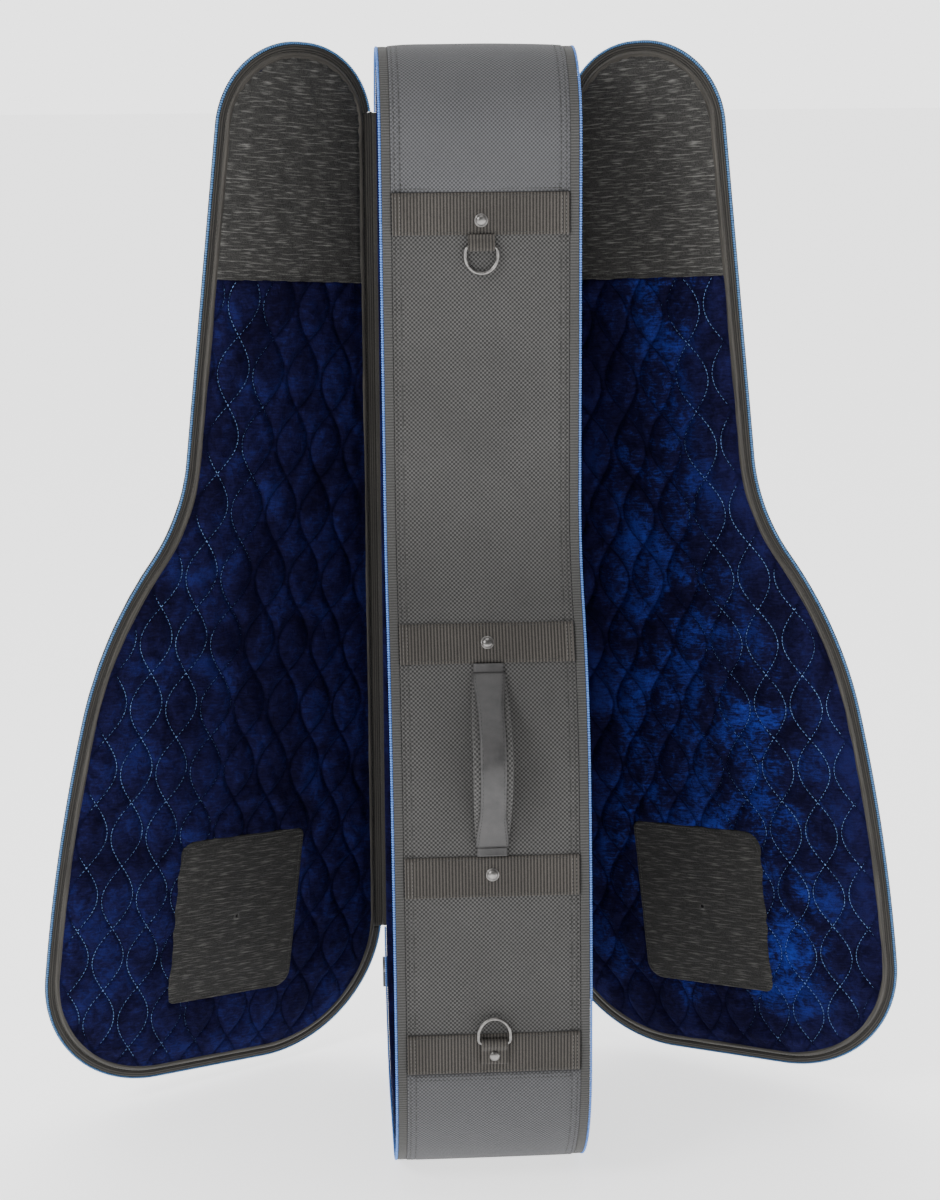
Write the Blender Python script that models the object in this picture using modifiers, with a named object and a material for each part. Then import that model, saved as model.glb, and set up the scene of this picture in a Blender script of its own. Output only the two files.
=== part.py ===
"""A padded double gig bag, standing on its tail with both lids open.

Sizes are in millimetres and become metres where a mesh is made. +Z runs from the tail to the head.
The handle side of the rim faces -Y, and the lids hinge on the straight side at +Y.
The outline lies in a plane of u (towards the handle, -Y) and v (up, +Z).
"""

import math

import bmesh
import bpy
from mathutils import Matrix, Vector

MM = 0.001

# Overall sizes
LENGTH = 1070.0
HANDLE_HALF = 199.0  # lower bout, from u = 0 to the handle side
HINGE_HALF = 198.0  # lower bout, from u = 0 to the hinge side
NECK_HANDLE_HALF = 90.0
NECK_HINGE_HALF = 80.0
RIM_DEPTH = 185.0  # from one closing plane to the other
LID_DEPTH = 25.0
LID_ROUNDING = 8.0

# Radii of the outline
TAIL_RADIUS = 135.0
HEAD_RADIUS = 82.0
FLANK_RADIUS = 1900.0
FLANK_LENGTH = 270.0
SHOULDER_RADIUS = 400.0
THROAT_RADIUS = 180.0

# Layers of the rim, as insets from the outline
GAP = 0.3
CLOTH = 2.0
CAP_STEP = 0.8  # the caps stand this much proud of the side panels
RIM_FOAM = 14.0
RIM_LINING = 1.5
SEAM_HALF = RIM_DEPTH / 2 - 11.5  # half the width of the outer cloth between its two zips

# Zips and the lid's edge
TAPE = 1.2
COIL_RADIUS = 1.5
COIL_INSET = 1.9
RIM_TAPE_WIDTH = 8.0
LID_TAPE_WIDTH = 9.0
BINDING_RADIUS = 3.4
ZIP_END_ANGLE = 8.0  # degrees of the corner between the hinge line and the end of a zip
HINGE_CORD_RADIUS = 1.4

# Inside the lids and the rim
PATCH = 1.3
DIVIDER = 12.0
DIVIDER_LINING = 2.0
HEAD_PATCH_LENGTH = 226.0  # from the head down
PATCH_CENTRE = (-12.0, 175.0)
PATCH_SIZE = (144.0, 182.0)
PATCH_RADIUS = 14.0
CRADLE_BOTTOM = 690.0
CRADLE_HEIGHT = 62.0
CRADLE_DEPTH = 60.0
NOTCH_WIDTH = 62.0
NOTCH_DEPTH = 42.0
STRAP_WIDTH = 38.0
STRAP = 2.0
STRAP_LAP = 10.0  # beyond each side of the notch

# Hardware on the handle side
WEBBING_WIDTH = 38.0
WEBBING = 2.1
TAIL_SEAM = 136.7
HEAD_SEAM = LENGTH - 130.7
# The bands' lower edges, from the head down. The first and last lie against the caps' seams.
WEBBING_BOTTOMS = (HEAD_SEAM - GAP - WEBBING_WIDTH, 516.0, 306.0, TAIL_SEAM + GAP)
RIVET_OFFSETS = (13.0, 17.0, 21.0, 18.0)  # above each band's lower edge
RIVET_RADIUS = 6.0
RIVET_RISE = 3.4
RING_WIDTH = 33.0
RING_HEIGHT = 27.0
RING_WIRE = 1.75
RING_TAB_WIDTH = 25.0
RING_TAB = 1.6
UPPER_RING_BAR = WEBBING_BOTTOMS[0] - 11.0
LOWER_RING_BAR = WEBBING_BOTTOMS[-1] + 31.0
HANDLE_WIDTH = 36.0
HANDLE_PAD = 7.0
GRIP = 3.0
GRIP_END_WIDTH = 31.0
GRIP_MIDDLE_WIDTH = 25.0
HANDLE_RISE = 38.0
HANDLE_TAB_LENGTH = 9.0
HANDLE_TAB_WIDTH = 24.0

# Zip sliders
SLIDER_WIDTH = 8.4
SLIDER_LENGTH = 17.0
SLIDER_PLATE = 2.6
SLIDER_CLEARANCE = 0.6  # over the outline
SLIDER_PARK_ANGLE = 26.0  # degrees of the tail corner from the hinge line
BRIDGE_WIRE = 0.8
BRIDGE_RISE = 4.6
BRIDGE_HALF = 5.0
PULL_BAR_HEIGHT = SLIDER_PLATE + 2.1
PULL_EYE = 7.0
PULL_WIDTH = 8.0
PULL_LENGTH = 27.0
PULL = 2.2

# How far each lid stands open, in degrees from closed
LID_OPEN = {"left": 60.4, "right": 57.0}

SIDES = {"left": -1, "right": 1}

COLOURS = {
    "ballistic_nylon": ((0.135, 0.130, 0.122), 0.85, 0.0),
    "cap_twill": ((0.190, 0.190, 0.200), 0.80, 0.0),
    "grosgrain": ((0.095, 0.082, 0.070), 0.80, 0.0),
    "gunmetal": ((0.160, 0.150, 0.145), 0.30, 1.0),
    "leather": ((0.060, 0.058, 0.056), 0.50, 0.0),
    "foam": ((0.040, 0.040, 0.045), 0.95, 0.0),
    "velvet": ((0.010, 0.025, 0.150), 0.70, 0.0),
    "heather": ((0.040, 0.039, 0.037), 0.95, 0.0),
    "binding": ((0.075, 0.068, 0.058), 0.75, 0.0),
    "zip_tape": ((0.130, 0.127, 0.120), 0.80, 0.0),
    "coil": ((0.160, 0.320, 0.520), 0.40, 0.0),
}


def clear_scene():
    for obj in list(bpy.data.objects):
        bpy.data.objects.remove(obj)


def make_collection(name):
    collection = bpy.data.collections.new(name)
    bpy.context.scene.collection.children.link(collection)
    return collection


def make_materials():
    for name, (colour, roughness, metallic) in COLOURS.items():
        made = bpy.data.materials.new(name)
        made.use_nodes = True
        shader = made.node_tree.nodes["Principled BSDF"]
        shader.inputs["Base Color"].default_value = (*colour, 1.0)
        shader.inputs["Roughness"].default_value = roughness
        shader.inputs["Metallic"].default_value = metallic
        made.diffuse_color = (*colour, 1.0)


clear_scene()
PARTS = make_collection("double_gig_bag")
CUTTERS = make_collection("cutters")
make_materials()


# --- The outline: stations of (point, outward normal), from the hinge line's lower end round to its upper end


def hinge_tilt():
    """The hinge line's slant from upright, as the tangent to the two corners on the hinge side."""
    across = HEAD_RADIUS - NECK_HINGE_HALF - (TAIL_RADIUS - HINGE_HALF)
    up = LENGTH - HEAD_RADIUS - TAIL_RADIUS
    return math.atan2(across, up) + math.asin((TAIL_RADIUS - HEAD_RADIUS) / math.hypot(across, up))


TILT = hinge_tilt()


def arc(centre, radius, start, end, steps):
    """Stations of an arc between two directions of its outward normal. A negative radius is a hollow arc."""
    found = []
    for step in range(steps + 1):
        angle = start + (end - start) * step / steps
        normal = Vector((math.cos(angle), math.sin(angle)))
        found.append((centre + normal * radius, normal))
    return found


def outline_stations():
    tail_hinge = Vector((TAIL_RADIUS - HINGE_HALF, TAIL_RADIUS))
    tail_handle = Vector((HANDLE_HALF - TAIL_RADIUS, TAIL_RADIUS))
    flank = Vector((HANDLE_HALF - FLANK_RADIUS, TAIL_RADIUS))
    flank_end = math.asin(FLANK_LENGTH / FLANK_RADIUS)
    flank_normal = Vector((math.cos(flank_end), math.sin(flank_end)))
    shoulder = flank + flank_normal * (FLANK_RADIUS - SHOULDER_RADIUS)
    # The shoulder turns until the hollow throat after it lands on the neck's side.
    reach = NECK_HANDLE_HALF + THROAT_RADIUS - shoulder.x
    lean = math.acos(reach / (SHOULDER_RADIUS + THROAT_RADIUS))
    lean_normal = Vector((math.cos(lean), math.sin(lean)))
    throat = shoulder + lean_normal * (SHOULDER_RADIUS + THROAT_RADIUS)
    head_handle = Vector((NECK_HANDLE_HALF - HEAD_RADIUS, LENGTH - HEAD_RADIUS))
    head_hinge = Vector((HEAD_RADIUS - NECK_HINGE_HALF, LENGTH - HEAD_RADIUS))
    quarter = math.pi / 2
    found = arc(tail_hinge, TAIL_RADIUS, 2 * quarter - TILT, 3 * quarter, 10)
    found += arc(tail_handle, TAIL_RADIUS, -quarter, 0.0, 10)
    found += arc(flank, FLANK_RADIUS, 0.0, flank_end, 4)[1:]
    found += arc(shoulder, SHOULDER_RADIUS, flank_end, lean, 5)[1:]
    for point, normal in reversed(arc(throat, -THROAT_RADIUS, 0.0, lean, 5)[:-1]):
        found.append((point, normal))
    found += arc(head_handle, HEAD_RADIUS, 0.0, quarter, 8)
    found += arc(head_hinge, HEAD_RADIUS, quarter, 2 * quarter - TILT, 8)
    return found


STATIONS = outline_stations()
HINGE_LOW = STATIONS[0][0]
HINGE_HIGH = STATIONS[-1][0]
TAIL_HINGE_CENTRE = Vector((TAIL_RADIUS - HINGE_HALF, TAIL_RADIUS))


def mixed(first, second, share):
    point = first[0].lerp(second[0], share)
    normal = first[1].lerp(second[1], share).normalized()
    return point, normal


def place_on(side, height):
    """The fractional index of the station at a height on the "handle" or the "hinge" side."""
    count = len(STATIONS)
    for index in range(count):
        first, second = STATIONS[index], STATIONS[(index + 1) % count]
        middle = (first[1] + second[1]) / 2
        if (middle.x > 0) != (side == "handle"):
            continue
        low, high = sorted((first[0].y, second[0].y))
        if low <= height <= high and high > low:
            return index + (height - first[0].y) / (second[0].y - first[0].y)
    raise ValueError(f"no station at {height} on the {side} side")


def station_at(place):
    count = len(STATIONS)
    index = int(math.floor(place))
    return mixed(STATIONS[index % count], STATIONS[(index + 1) % count], place - index)


def stations_between(start, end):
    """The stations from one place to another, onwards round the outline."""
    if end < start:
        end += len(STATIONS)
    inner = [STATIONS[i % len(STATIONS)] for i in range(math.floor(start) + 1, math.ceil(end))]
    return [station_at(start), *inner, station_at(end)]


def inset_points(stations, inset):
    return [point - normal * inset for point, normal in stations]


def corner_place(end, degrees):
    """The place on the outline this many degrees of the hinge-side corner away from the hinge line."""
    turned = math.radians(degrees)
    if end == "lower":
        return turned / ((math.pi / 2 + TILT) / 10)
    return len(STATIONS) - 1 - turned / ((math.pi / 2 - TILT) / 8)


# --- Making objects

# Takes (u, v, out) to world axes: u to -Y, v to +Z and out to -X.
UPRIGHT = Matrix(((0, 0, -1, 0), (-1, 0, 0, 0), (0, 1, 0, 0), (0, 0, 0, 1)))


def finish(obj, material, collection=PARTS):
    obj.data.materials.append(bpy.data.materials[material])
    collection.objects.link(obj)
    return obj


def flat_solid(name, loops, x_from, x_to, material, rounding=0.0, collection=PARTS):
    """A flat outline, with any holes, thickened from one X to another. Rounding softens its edges."""
    curve = bpy.data.curves.new(name, "CURVE")
    curve.dimensions = "2D"
    curve.fill_mode = "BOTH"
    for loop in loops:
        spline = curve.splines.new("POLY")
        spline.points.add(len(loop) - 1)
        for point, (u, v) in zip(spline.points, loop):
            point.co = (u * MM, v * MM, 0, 1)
        spline.use_cyclic_u = True
    curve.extrude = (abs(x_to - x_from) / 2 - rounding) * MM
    curve.bevel_depth = rounding * MM
    curve.offset = -rounding * MM
    curve.bevel_resolution = 1 if rounding else 0
    obj = bpy.data.objects.new(name, curve)
    obj.matrix_world = Matrix.Translation(((x_from + x_to) / 2 * MM, 0, 0)) @ UPRIGHT
    return finish(obj, material, collection)


def plate(name, inset, x_from, x_to, material, **options):
    return flat_solid(name, [inset_points(STATIONS, inset)], x_from, x_to, material, **options)


def ring(name, outer, inner, x_from, x_to, material, **options):
    loops = [inset_points(STATIONS, outer), inset_points(STATIONS, inner)]
    return flat_solid(name, loops, x_from, x_to, material, **options)


def strip(name, stations, outer, inner, x_from, x_to, material, **options):
    """A band along part of the outline, between two insets."""
    loop = inset_points(stations, outer) + inset_points(stations, inner)[::-1]
    return flat_solid(name, [loop], x_from, x_to, material, **options)


def wire(name, points, radius, material, cyclic=False, resolution=1, collection=PARTS):
    """A round wire through points in metres."""
    curve = bpy.data.curves.new(name, "CURVE")
    curve.dimensions = "3D"
    curve.bevel_depth = radius * MM
    curve.bevel_resolution = resolution
    curve.use_fill_caps = True
    spline = curve.splines.new("POLY")
    spline.points.add(len(points) - 1)
    for target, point in zip(spline.points, points):
        target.co = (*point, 1)
    spline.use_cyclic_u = cyclic
    return finish(bpy.data.objects.new(name, curve), material, collection)


def outline_wire(name, stations, inset, x, radius, material, cyclic=False):
    points = [(x * MM, -u * MM, v * MM) for u, v in inset_points(stations, inset)]
    return wire(name, points, radius, material, cyclic)


def as_mesh(obj):
    """The curve object remade as a mesh object, which Booleans accept."""
    graph = bpy.context.evaluated_depsgraph_get()
    graph.update()
    mesh = bpy.data.meshes.new_from_object(obj.evaluated_get(graph))
    shape = bmesh.new()
    shape.from_mesh(mesh)
    bmesh.ops.remove_doubles(shape, verts=shape.verts, dist=0.00001)
    bmesh.ops.recalc_face_normals(shape, faces=shape.faces)
    shape.to_mesh(mesh)
    shape.free()
    name, place, home = obj.name, obj.matrix_world.copy(), obj.users_collection[0]
    bpy.data.objects.remove(obj)
    made = bpy.data.objects.new(name, mesh)
    made.matrix_world = place
    home.objects.link(made)
    return made


def boolean(obj, other, operation):
    other.hide_render = True
    other.display_type = "WIRE"
    modifier = obj.modifiers.new(operation.lower(), "BOOLEAN")
    modifier.operation = operation
    modifier.solver = "EXACT"
    modifier.object = other


def box(name, low, high, material="foam", collection=CUTTERS):
    """A box between two corners, given in world X, Y and Z."""
    size = [(b - a) * MM for a, b in zip(low, high)]
    middle = [(a + b) / 2 * MM for a, b in zip(low, high)]
    mesh = bpy.data.meshes.new(name)
    shape = bmesh.new()
    place = Matrix.Translation(middle) @ Matrix.Diagonal((*size, 1))
    bmesh.ops.create_cube(shape, size=1.0, matrix=place)
    shape.to_mesh(mesh)
    shape.free()
    return finish(bpy.data.objects.new(name, mesh), material, collection)


def make_empty(name, matrix):
    empty = bpy.data.objects.new(name, None)
    PARTS.objects.link(empty)
    empty.matrix_world = matrix
    return empty


def hang(obj, parent, pivot):
    """Puts an object, and what its Booleans use, under an empty at the pivot."""
    used = [modifier.object for modifier in obj.modifiers if modifier.type == "BOOLEAN"]
    for child in [obj, *used]:
        child.parent = parent
        child.matrix_parent_inverse = Matrix.Translation(-pivot)


def ordered(side, near, far):
    """Two distances from the middle plane as X values on one side."""
    return side * near, side * far


# --- The rim

RIM_INNER = CAP_STEP + CLOTH + GAP + RIM_FOAM + RIM_LINING + 2 * GAP
COIL_X = RIM_DEPTH / 2 - COIL_RADIUS - GAP
TAPE_X = SEAM_HALF + GAP


def make_rim():
    handle_low = place_on("handle", TAIL_SEAM)
    handle_high = place_on("handle", HEAD_SEAM)
    hinge_low = place_on("hinge", TAIL_SEAM)
    hinge_high = place_on("hinge", HEAD_SEAM)
    back = CAP_STEP + CLOTH
    half = SEAM_HALF
    tail = stations_between(hinge_low, handle_low)
    head = stations_between(handle_high, hinge_high)
    strip("tail_cap", tail, 0.0, back, -half, half, "cap_twill")
    strip("head_cap", head, 0.0, back, -half, half, "cap_twill")
    ends = TAIL_SEAM + GAP, HEAD_SEAM - GAP
    front = stations_between(*(place_on("handle", end) for end in ends))
    strip("handle_side_panel", front, CAP_STEP, back, -half, half, "ballistic_nylon")
    rear = stations_between(*(place_on("hinge", end) for end in reversed(ends)))
    strip("hinge_side_panel", rear, CAP_STEP, back, -half, half, "ballistic_nylon")

    foam_inset = back + GAP
    foam_half = RIM_DEPTH / 2 - 4.6
    ring("rim_foam", foam_inset, foam_inset + RIM_FOAM, -foam_half, foam_half, "foam")
    lining_in = foam_inset + RIM_FOAM + GAP
    lining_half = foam_half + GAP + RIM_LINING
    channel = ring("rim_lining", foam_inset, lining_in + RIM_LINING, -lining_half, lining_half, "velvet")
    room = ring(
        "rim_lining_room", foam_inset - 5, lining_in, -foam_half - GAP, foam_half + GAP,
        "velvet", collection=CUTTERS,
    )
    boolean(as_mesh(channel), as_mesh(room), "DIFFERENCE")


def make_divider():
    plate("divider_board", RIM_INNER, -DIVIDER / 2, DIVIDER / 2, "foam")
    for name, side in SIDES.items():
        near = DIVIDER / 2 + GAP
        ends = ordered(side, near, near + DIVIDER_LINING)
        plate(f"divider_lining_{name}", RIM_INNER, *ends, "velvet")


def make_neck_supports():
    near = DIVIDER / 2 + GAP + DIVIDER_LINING + GAP
    top = near + CRADLE_DEPTH
    low, high = CRADLE_BOTTOM, CRADLE_BOTTOM + CRADLE_HEIGHT
    middle = (station_at(place_on("hinge", low))[0].x + NECK_HANDLE_HALF) / 2
    for name, side in SIDES.items():
        block = across_neck(low, high, RIM_INNER)
        cradle = flat_solid(f"neck_cradle_{name}", [block], *ordered(side, near, top), "velvet")
        notch_ends = sorted(ordered(side, top - NOTCH_DEPTH, top + 5))
        notch = box(
            f"notch_{name}",
            (notch_ends[0], -middle - NOTCH_WIDTH / 2, low - 5),
            (notch_ends[1], -middle + NOTCH_WIDTH / 2, high + 5),
        )
        boolean(as_mesh(cradle), notch, "DIFFERENCE")
        make_strap(name, side, top + GAP, (low + high - STRAP_WIDTH) / 2, middle)


def make_strap(name, side, near, low, middle):
    """The strap over a cradle's notch, hinged on its outer edge at the handle side."""
    half = NOTCH_WIDTH / 2 + STRAP_LAP
    left, right, high = middle - half, middle + half, low + STRAP_WIDTH
    outline = [(left, low), (right, low), (right, high), (left, high)]
    ends = ordered(side, near, near + STRAP)
    strap = flat_solid(f"neck_strap_{name}", [outline], *ends, "grosgrain")
    pivot = Vector((side * (near + STRAP), -right, low)) * MM
    hang(strap, make_empty(f"strap_pivot_{name}", Matrix.Translation(pivot)), pivot)


def across_neck(low, high, inset):
    """The room inside the rim between two heights of the neck, as a flat outline."""
    handle = stations_between(place_on("handle", low), place_on("handle", high))
    hinge = [station_at(place_on("hinge", high)), station_at(place_on("hinge", low))]
    return inset_points(handle, inset) + inset_points(hinge, inset)


# --- Zips


def zip_stations():
    return stations_between(corner_place("lower", ZIP_END_ANGLE), corner_place("upper", ZIP_END_ANGLE))


def hinge_stations():
    """The hinge line, ending a little short of where the zips start."""
    count = len(STATIONS)
    return stations_between(count - 1 + 0.01, count - 0.01)


def make_rim_zips():
    path = zip_stations()
    for name, side in SIDES.items():
        tape = ordered(side, TAPE_X, TAPE_X + RIM_TAPE_WIDTH - GAP)
        tape_inset = CAP_STEP + GAP
        strip(f"rim_zip_tape_{name}", path, tape_inset, tape_inset + TAPE, *tape, "zip_tape")
        outline_wire(f"rim_zip_coil_{name}", path, COIL_INSET, side * COIL_X, COIL_RADIUS, "coil")


# --- The lids, modelled closed and turned open about their hinge lines


def lid_pivot(side):
    return Vector((side * RIM_DEPTH / 2, -HINGE_LOW.x, HINGE_LOW.y)) * MM


def hinge_axis():
    """The hinge line's direction, from the tail up."""
    return Vector((0, -math.sin(TILT), math.cos(TILT)))


def make_lid(name, side):
    plane = RIM_DEPTH / 2
    pivot = lid_pivot(side)
    turn = Matrix.Rotation(side * math.radians(LID_OPEN[name]), 4, hinge_axis())
    empty = make_empty(f"lid_hinge_{name}", Matrix.Translation(pivot) @ turn)

    path = zip_stations()
    coil_x = plane + GAP + COIL_RADIUS
    tape_from = coil_x - TAPE / 2
    tape_outer = COIL_INSET + COIL_RADIUS + GAP
    tape_inner = tape_outer + LID_TAPE_WIDTH
    binding_inset = tape_inner + GAP + BINDING_RADIUS
    lining_inset = binding_inset + BINDING_RADIUS + GAP
    lining_from = plane + 0.5
    lining_to = lining_from + 2 * BINDING_RADIUS
    back = plane + LID_DEPTH

    made = []
    made.append(outline_wire(f"lid_zip_coil_{name}", path, COIL_INSET, side * coil_x, COIL_RADIUS, "coil"))
    ends = ordered(side, tape_from, tape_from + TAPE)
    made.append(strip(f"lid_zip_tape_{name}", path, tape_outer, tape_inner, *ends, "zip_tape"))
    made.append(
        outline_wire(
            f"lid_binding_{name}", STATIONS, binding_inset, side * (plane + BINDING_RADIUS + 0.5),
            BINDING_RADIUS, "binding", cyclic=True,
        )
    )
    made.append(
        plate(f"lid_lining_{name}", lining_inset, *ordered(side, lining_from, lining_to), "velvet")
    )
    made.append(make_hinge_cloth(name, side, tape_from, tape_inner))
    made += make_lid_pad(name, side, tape_from + TAPE + GAP, lining_to + GAP, back, tape_outer)
    made += make_patches(name, side, lining_from - GAP, lining_inset + 1)
    for obj in made:
        hang(obj, empty, pivot)


def make_hinge_cloth(name, side, tape_from, tape_inner):
    """The lid's half of the cloth hinge: a cord on the hinge line with a flat strip beside it."""
    line = hinge_stations()
    low, high = inset_points(line, HINGE_CORD_RADIUS * 0.5)[:1] + inset_points(line, 0.7)[-1:]
    x = side * (RIM_DEPTH / 2 + HINGE_CORD_RADIUS + GAP)
    # The line runs from the head to the tail here.
    ends = [(x * MM, -u * MM, v * MM) for u, v in (low, high)]
    cord = as_mesh(wire(f"hinge_cloth_{name}", ends, HINGE_CORD_RADIUS, "ballistic_nylon"))
    flat = strip(
        f"hinge_flat_{name}", line, 1.2, tape_inner, *ordered(side, tape_from, tape_from + TAPE),
        "ballistic_nylon", collection=CUTTERS,
    )
    boolean(cord, as_mesh(flat), "UNION")
    return cord


def make_lid_pad(name, side, shell_from, foam_from, back, shell_inset):
    """The lid's outer cloth, as a tray, and the foam in it."""
    outside = ordered(side, shell_from, back)
    shell = plate(f"lid_shell_{name}", shell_inset, *outside, "ballistic_nylon", rounding=LID_ROUNDING)
    inside = ordered(side, shell_from - LID_DEPTH, back - CLOTH)
    room = plate(
        f"lid_room_{name}", shell_inset + CLOTH, *inside, "foam",
        rounding=LID_ROUNDING - CLOTH, collection=CUTTERS,
    )
    shell = as_mesh(shell)
    boolean(shell, as_mesh(room), "DIFFERENCE")
    filling = ordered(side, foam_from, back - CLOTH - GAP)
    foam = plate(
        f"lid_foam_{name}", shell_inset + CLOTH + GAP, *filling, "foam", rounding=LID_ROUNDING - CLOTH
    )
    return [shell, foam]


def make_patches(name, side, face, inset):
    """The heathered patches that guard the headstock's and the bridge's places."""
    ends = ordered(side, face - PATCH, face)
    hem = LENGTH - HEAD_PATCH_LENGTH
    head = stations_between(place_on("handle", hem), place_on("hinge", hem))
    made = [flat_solid(f"head_patch_{name}", [inset_points(head, inset)], *ends, "heather")]
    (u, v), (width, height), radius = PATCH_CENTRE, PATCH_SIZE, PATCH_RADIUS
    loop = []
    for quarter in range(4):
        sign_u, sign_v = ((1, 1), (-1, 1), (-1, -1), (1, -1))[quarter]
        centre = Vector((u + sign_u * (width / 2 - radius), v + sign_v * (height / 2 - radius)))
        start = quarter * math.pi / 2
        loop += [point for point, _ in arc(centre, radius, start, start + math.pi / 2, 4)]
    made.append(flat_solid(f"bridge_patch_{name}", [loop], *ends, "heather"))
    return made


# --- Webbing, rivets, rings and the handle, on the handle side


def handle_frame(height, inset):
    """A matrix on the handle side: local X across the bag, local Y up along the panel, local Z outwards."""
    point, normal = station_at(place_on("handle", height))
    point = point - normal * inset
    out = Vector((0, -normal.x, normal.y))
    across = Vector((1, 0, 0))
    up = out.cross(across)
    rotation = Matrix((across, up, out)).transposed().to_4x4()
    return Matrix.Translation(Vector((0, -point.x, point.y)) * MM) @ rotation


WEBBING_BACK = CAP_STEP - GAP
WEBBING_FACE = WEBBING_BACK - WEBBING


def make_webbing():
    for number, bottom in enumerate(WEBBING_BOTTOMS, 1):
        stations = stations_between(place_on("handle", bottom), place_on("handle", webbing_top(bottom)))
        strip(
            f"webbing_band_{number}", stations, WEBBING_FACE, WEBBING_BACK, -SEAM_HALF, SEAM_HALF,
            "grosgrain",
        )


def webbing_top(bottom):
    """The height where a band of webbing that starts at this height ends, by its width along the panel."""
    normal = station_at(place_on("handle", bottom + WEBBING_WIDTH / 2))[1]
    return bottom + WEBBING_WIDTH * normal.x


def turned(name, profile, matrix, material, steps=16):
    """A solid of revolution about the matrix's Z, from (radius, height) points, top to bottom."""
    mesh = bpy.data.meshes.new(name)
    mesh.from_pydata([(r * MM, 0, z * MM) for r, z in profile], [(i, i + 1) for i in range(len(profile) - 1)], [])
    obj = bpy.data.objects.new(name, mesh)
    obj.matrix_world = matrix
    screw = obj.modifiers.new("screw", "SCREW")
    screw.axis = "Z"
    screw.steps = screw.render_steps = steps
    screw.use_merge_vertices = True
    screw.merge_threshold = 0.00001
    return finish(obj, material)


def make_rivets():
    for number, (bottom, offset) in enumerate(zip(WEBBING_BOTTOMS, RIVET_OFFSETS), 1):
        inset = WEBBING_FACE - GAP
        if number == len(WEBBING_BOTTOMS):
            inset -= LOWER_TAB + GAP
        dome = [
            (RIVET_RADIUS * math.sin(math.radians(a)), RIVET_RISE * math.cos(math.radians(a)))
            for a in (0, 22, 45, 68, 90)
        ]
        dome[-1] = (RIVET_RADIUS, 0.6)
        profile = [*dome, (RIVET_RADIUS, 0.0), (0.0, 0.0)]
        turned(f"rivet_{number}", profile, handle_frame(bottom + offset, inset), "gunmetal")


LOWER_TAB = 2.4  # the lower ring's tab lies on its webbing, under the rivet
RING_HOLE = RING_WIRE + GAP


def ring_matrix(end):
    """The frame of a ring's bar, with local Y towards the ring's round side."""
    if end == "upper":
        outer = RING_HOLE + RING_TAB
        frame = handle_frame(UPPER_RING_BAR, CAP_STEP - GAP - outer)
        return frame @ Matrix.Rotation(math.pi, 4, "Z")
    outer = RING_HOLE + RING_TAB
    return handle_frame(LOWER_RING_BAR, WEBBING_FACE - GAP - outer)


def make_ring(end):
    """A D ring: a straight bar along X and a round bow on local +Y."""
    half = RING_WIDTH / 2 - RING_WIRE
    bow = RING_HEIGHT - 2 * RING_WIRE
    points = [Vector((-half, 0, 0)), Vector((-half, bow * 0.3, 0))]
    for step in range(1, 8):
        angle = math.pi * (1 - step / 8)
        points.append(Vector((half * math.cos(angle), bow * (0.3 + 0.7 * math.sin(angle)), 0)))
    points += [Vector((half, bow * 0.3, 0)), Vector((half, 0, 0))]
    obj = wire(f"d_ring_{end}", [p * MM for p in points], RING_WIRE, "gunmetal", cyclic=True, resolution=2)
    obj.parent = make_empty(f"d_ring_pivot_{end}", ring_matrix(end))


def make_ring_tab(end):
    """The tab that loops round a ring's bar, as a side profile across the tab's width."""
    outer = RING_HOLE + RING_TAB
    frame = ring_matrix(end)
    if end == "upper":
        tail_end = webbing_gap_above()
        # The tab's two plies run up under the webbing's lower edge.
        flat_low, flat_high = -outer + GAP, outer * 0.4
    else:
        tail_end = LOWER_RING_BAR - (WEBBING_BOTTOMS[-1] + RIVET_OFFSETS[-1] - RIVET_RADIUS - 2)
        flat_low, flat_high = -outer, -outer + LOWER_TAB
    start = math.asin(max(-0.99, flat_high / outer)) if end == "upper" else math.asin(flat_high / outer)
    finish_angle = math.asin(flat_low / outer) if end == "upper" else -math.pi / 2
    loop = [Vector((-tail_end, flat_high))]
    # Local coordinates are (along the tab, away from it, outwards), and the loop goes round the bar's far side.
    steps = 12
    first = math.pi - start
    last = -math.pi - finish_angle
    for step in range(steps + 1):
        angle = first + (last - first) * step / steps
        loop.append(Vector((math.cos(angle), math.sin(angle))) * outer)
    loop.append(Vector((-tail_end, flat_low)))
    hole = [Vector((math.cos(a), math.sin(a))) * RING_HOLE for a in (math.tau * i / 12 for i in range(12))]
    obj = flat_solid(f"ring_tab_{end}", [loop, hole], -RING_TAB_WIDTH / 2, RING_TAB_WIDTH / 2, "leather")
    # The profile's x runs along the ring's local Y, and its y along local Z.
    obj.matrix_world = frame @ Matrix(((0, 0, 1, 0), (1, 0, 0, 0), (0, 1, 0, 0), (0, 0, 0, 1)))


def webbing_gap_above():
    return WEBBING_BOTTOMS[0] - GAP - UPPER_RING_BAR


def handle_line():
    """The handle's path as (point, normal) stations, from its lower end to its upper end."""
    low = station_at(place_on("handle", webbing_top(WEBBING_BOTTOMS[2]) + GAP))
    high = station_at(place_on("handle", WEBBING_BOTTOMS[1] - GAP))
    chord = high[0] - low[0]
    out = Vector((chord.y, -chord.x)).normalized()
    return low[0], chord, out


def handle_point(share):
    """Where the handle's underside runs at a share of its length, and its outward direction there."""
    start, chord, out = handle_line()
    end_lift = -CAP_STEP + 1.2
    lift = end_lift + HANDLE_RISE * (1 - math.cos(math.tau * share)) / 2
    slope = HANDLE_RISE * math.pi * math.sin(math.tau * share) / chord.length
    point = start + chord * share + out * lift
    normal = (out - chord.normalized() * slope).normalized()
    return point, normal


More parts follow.
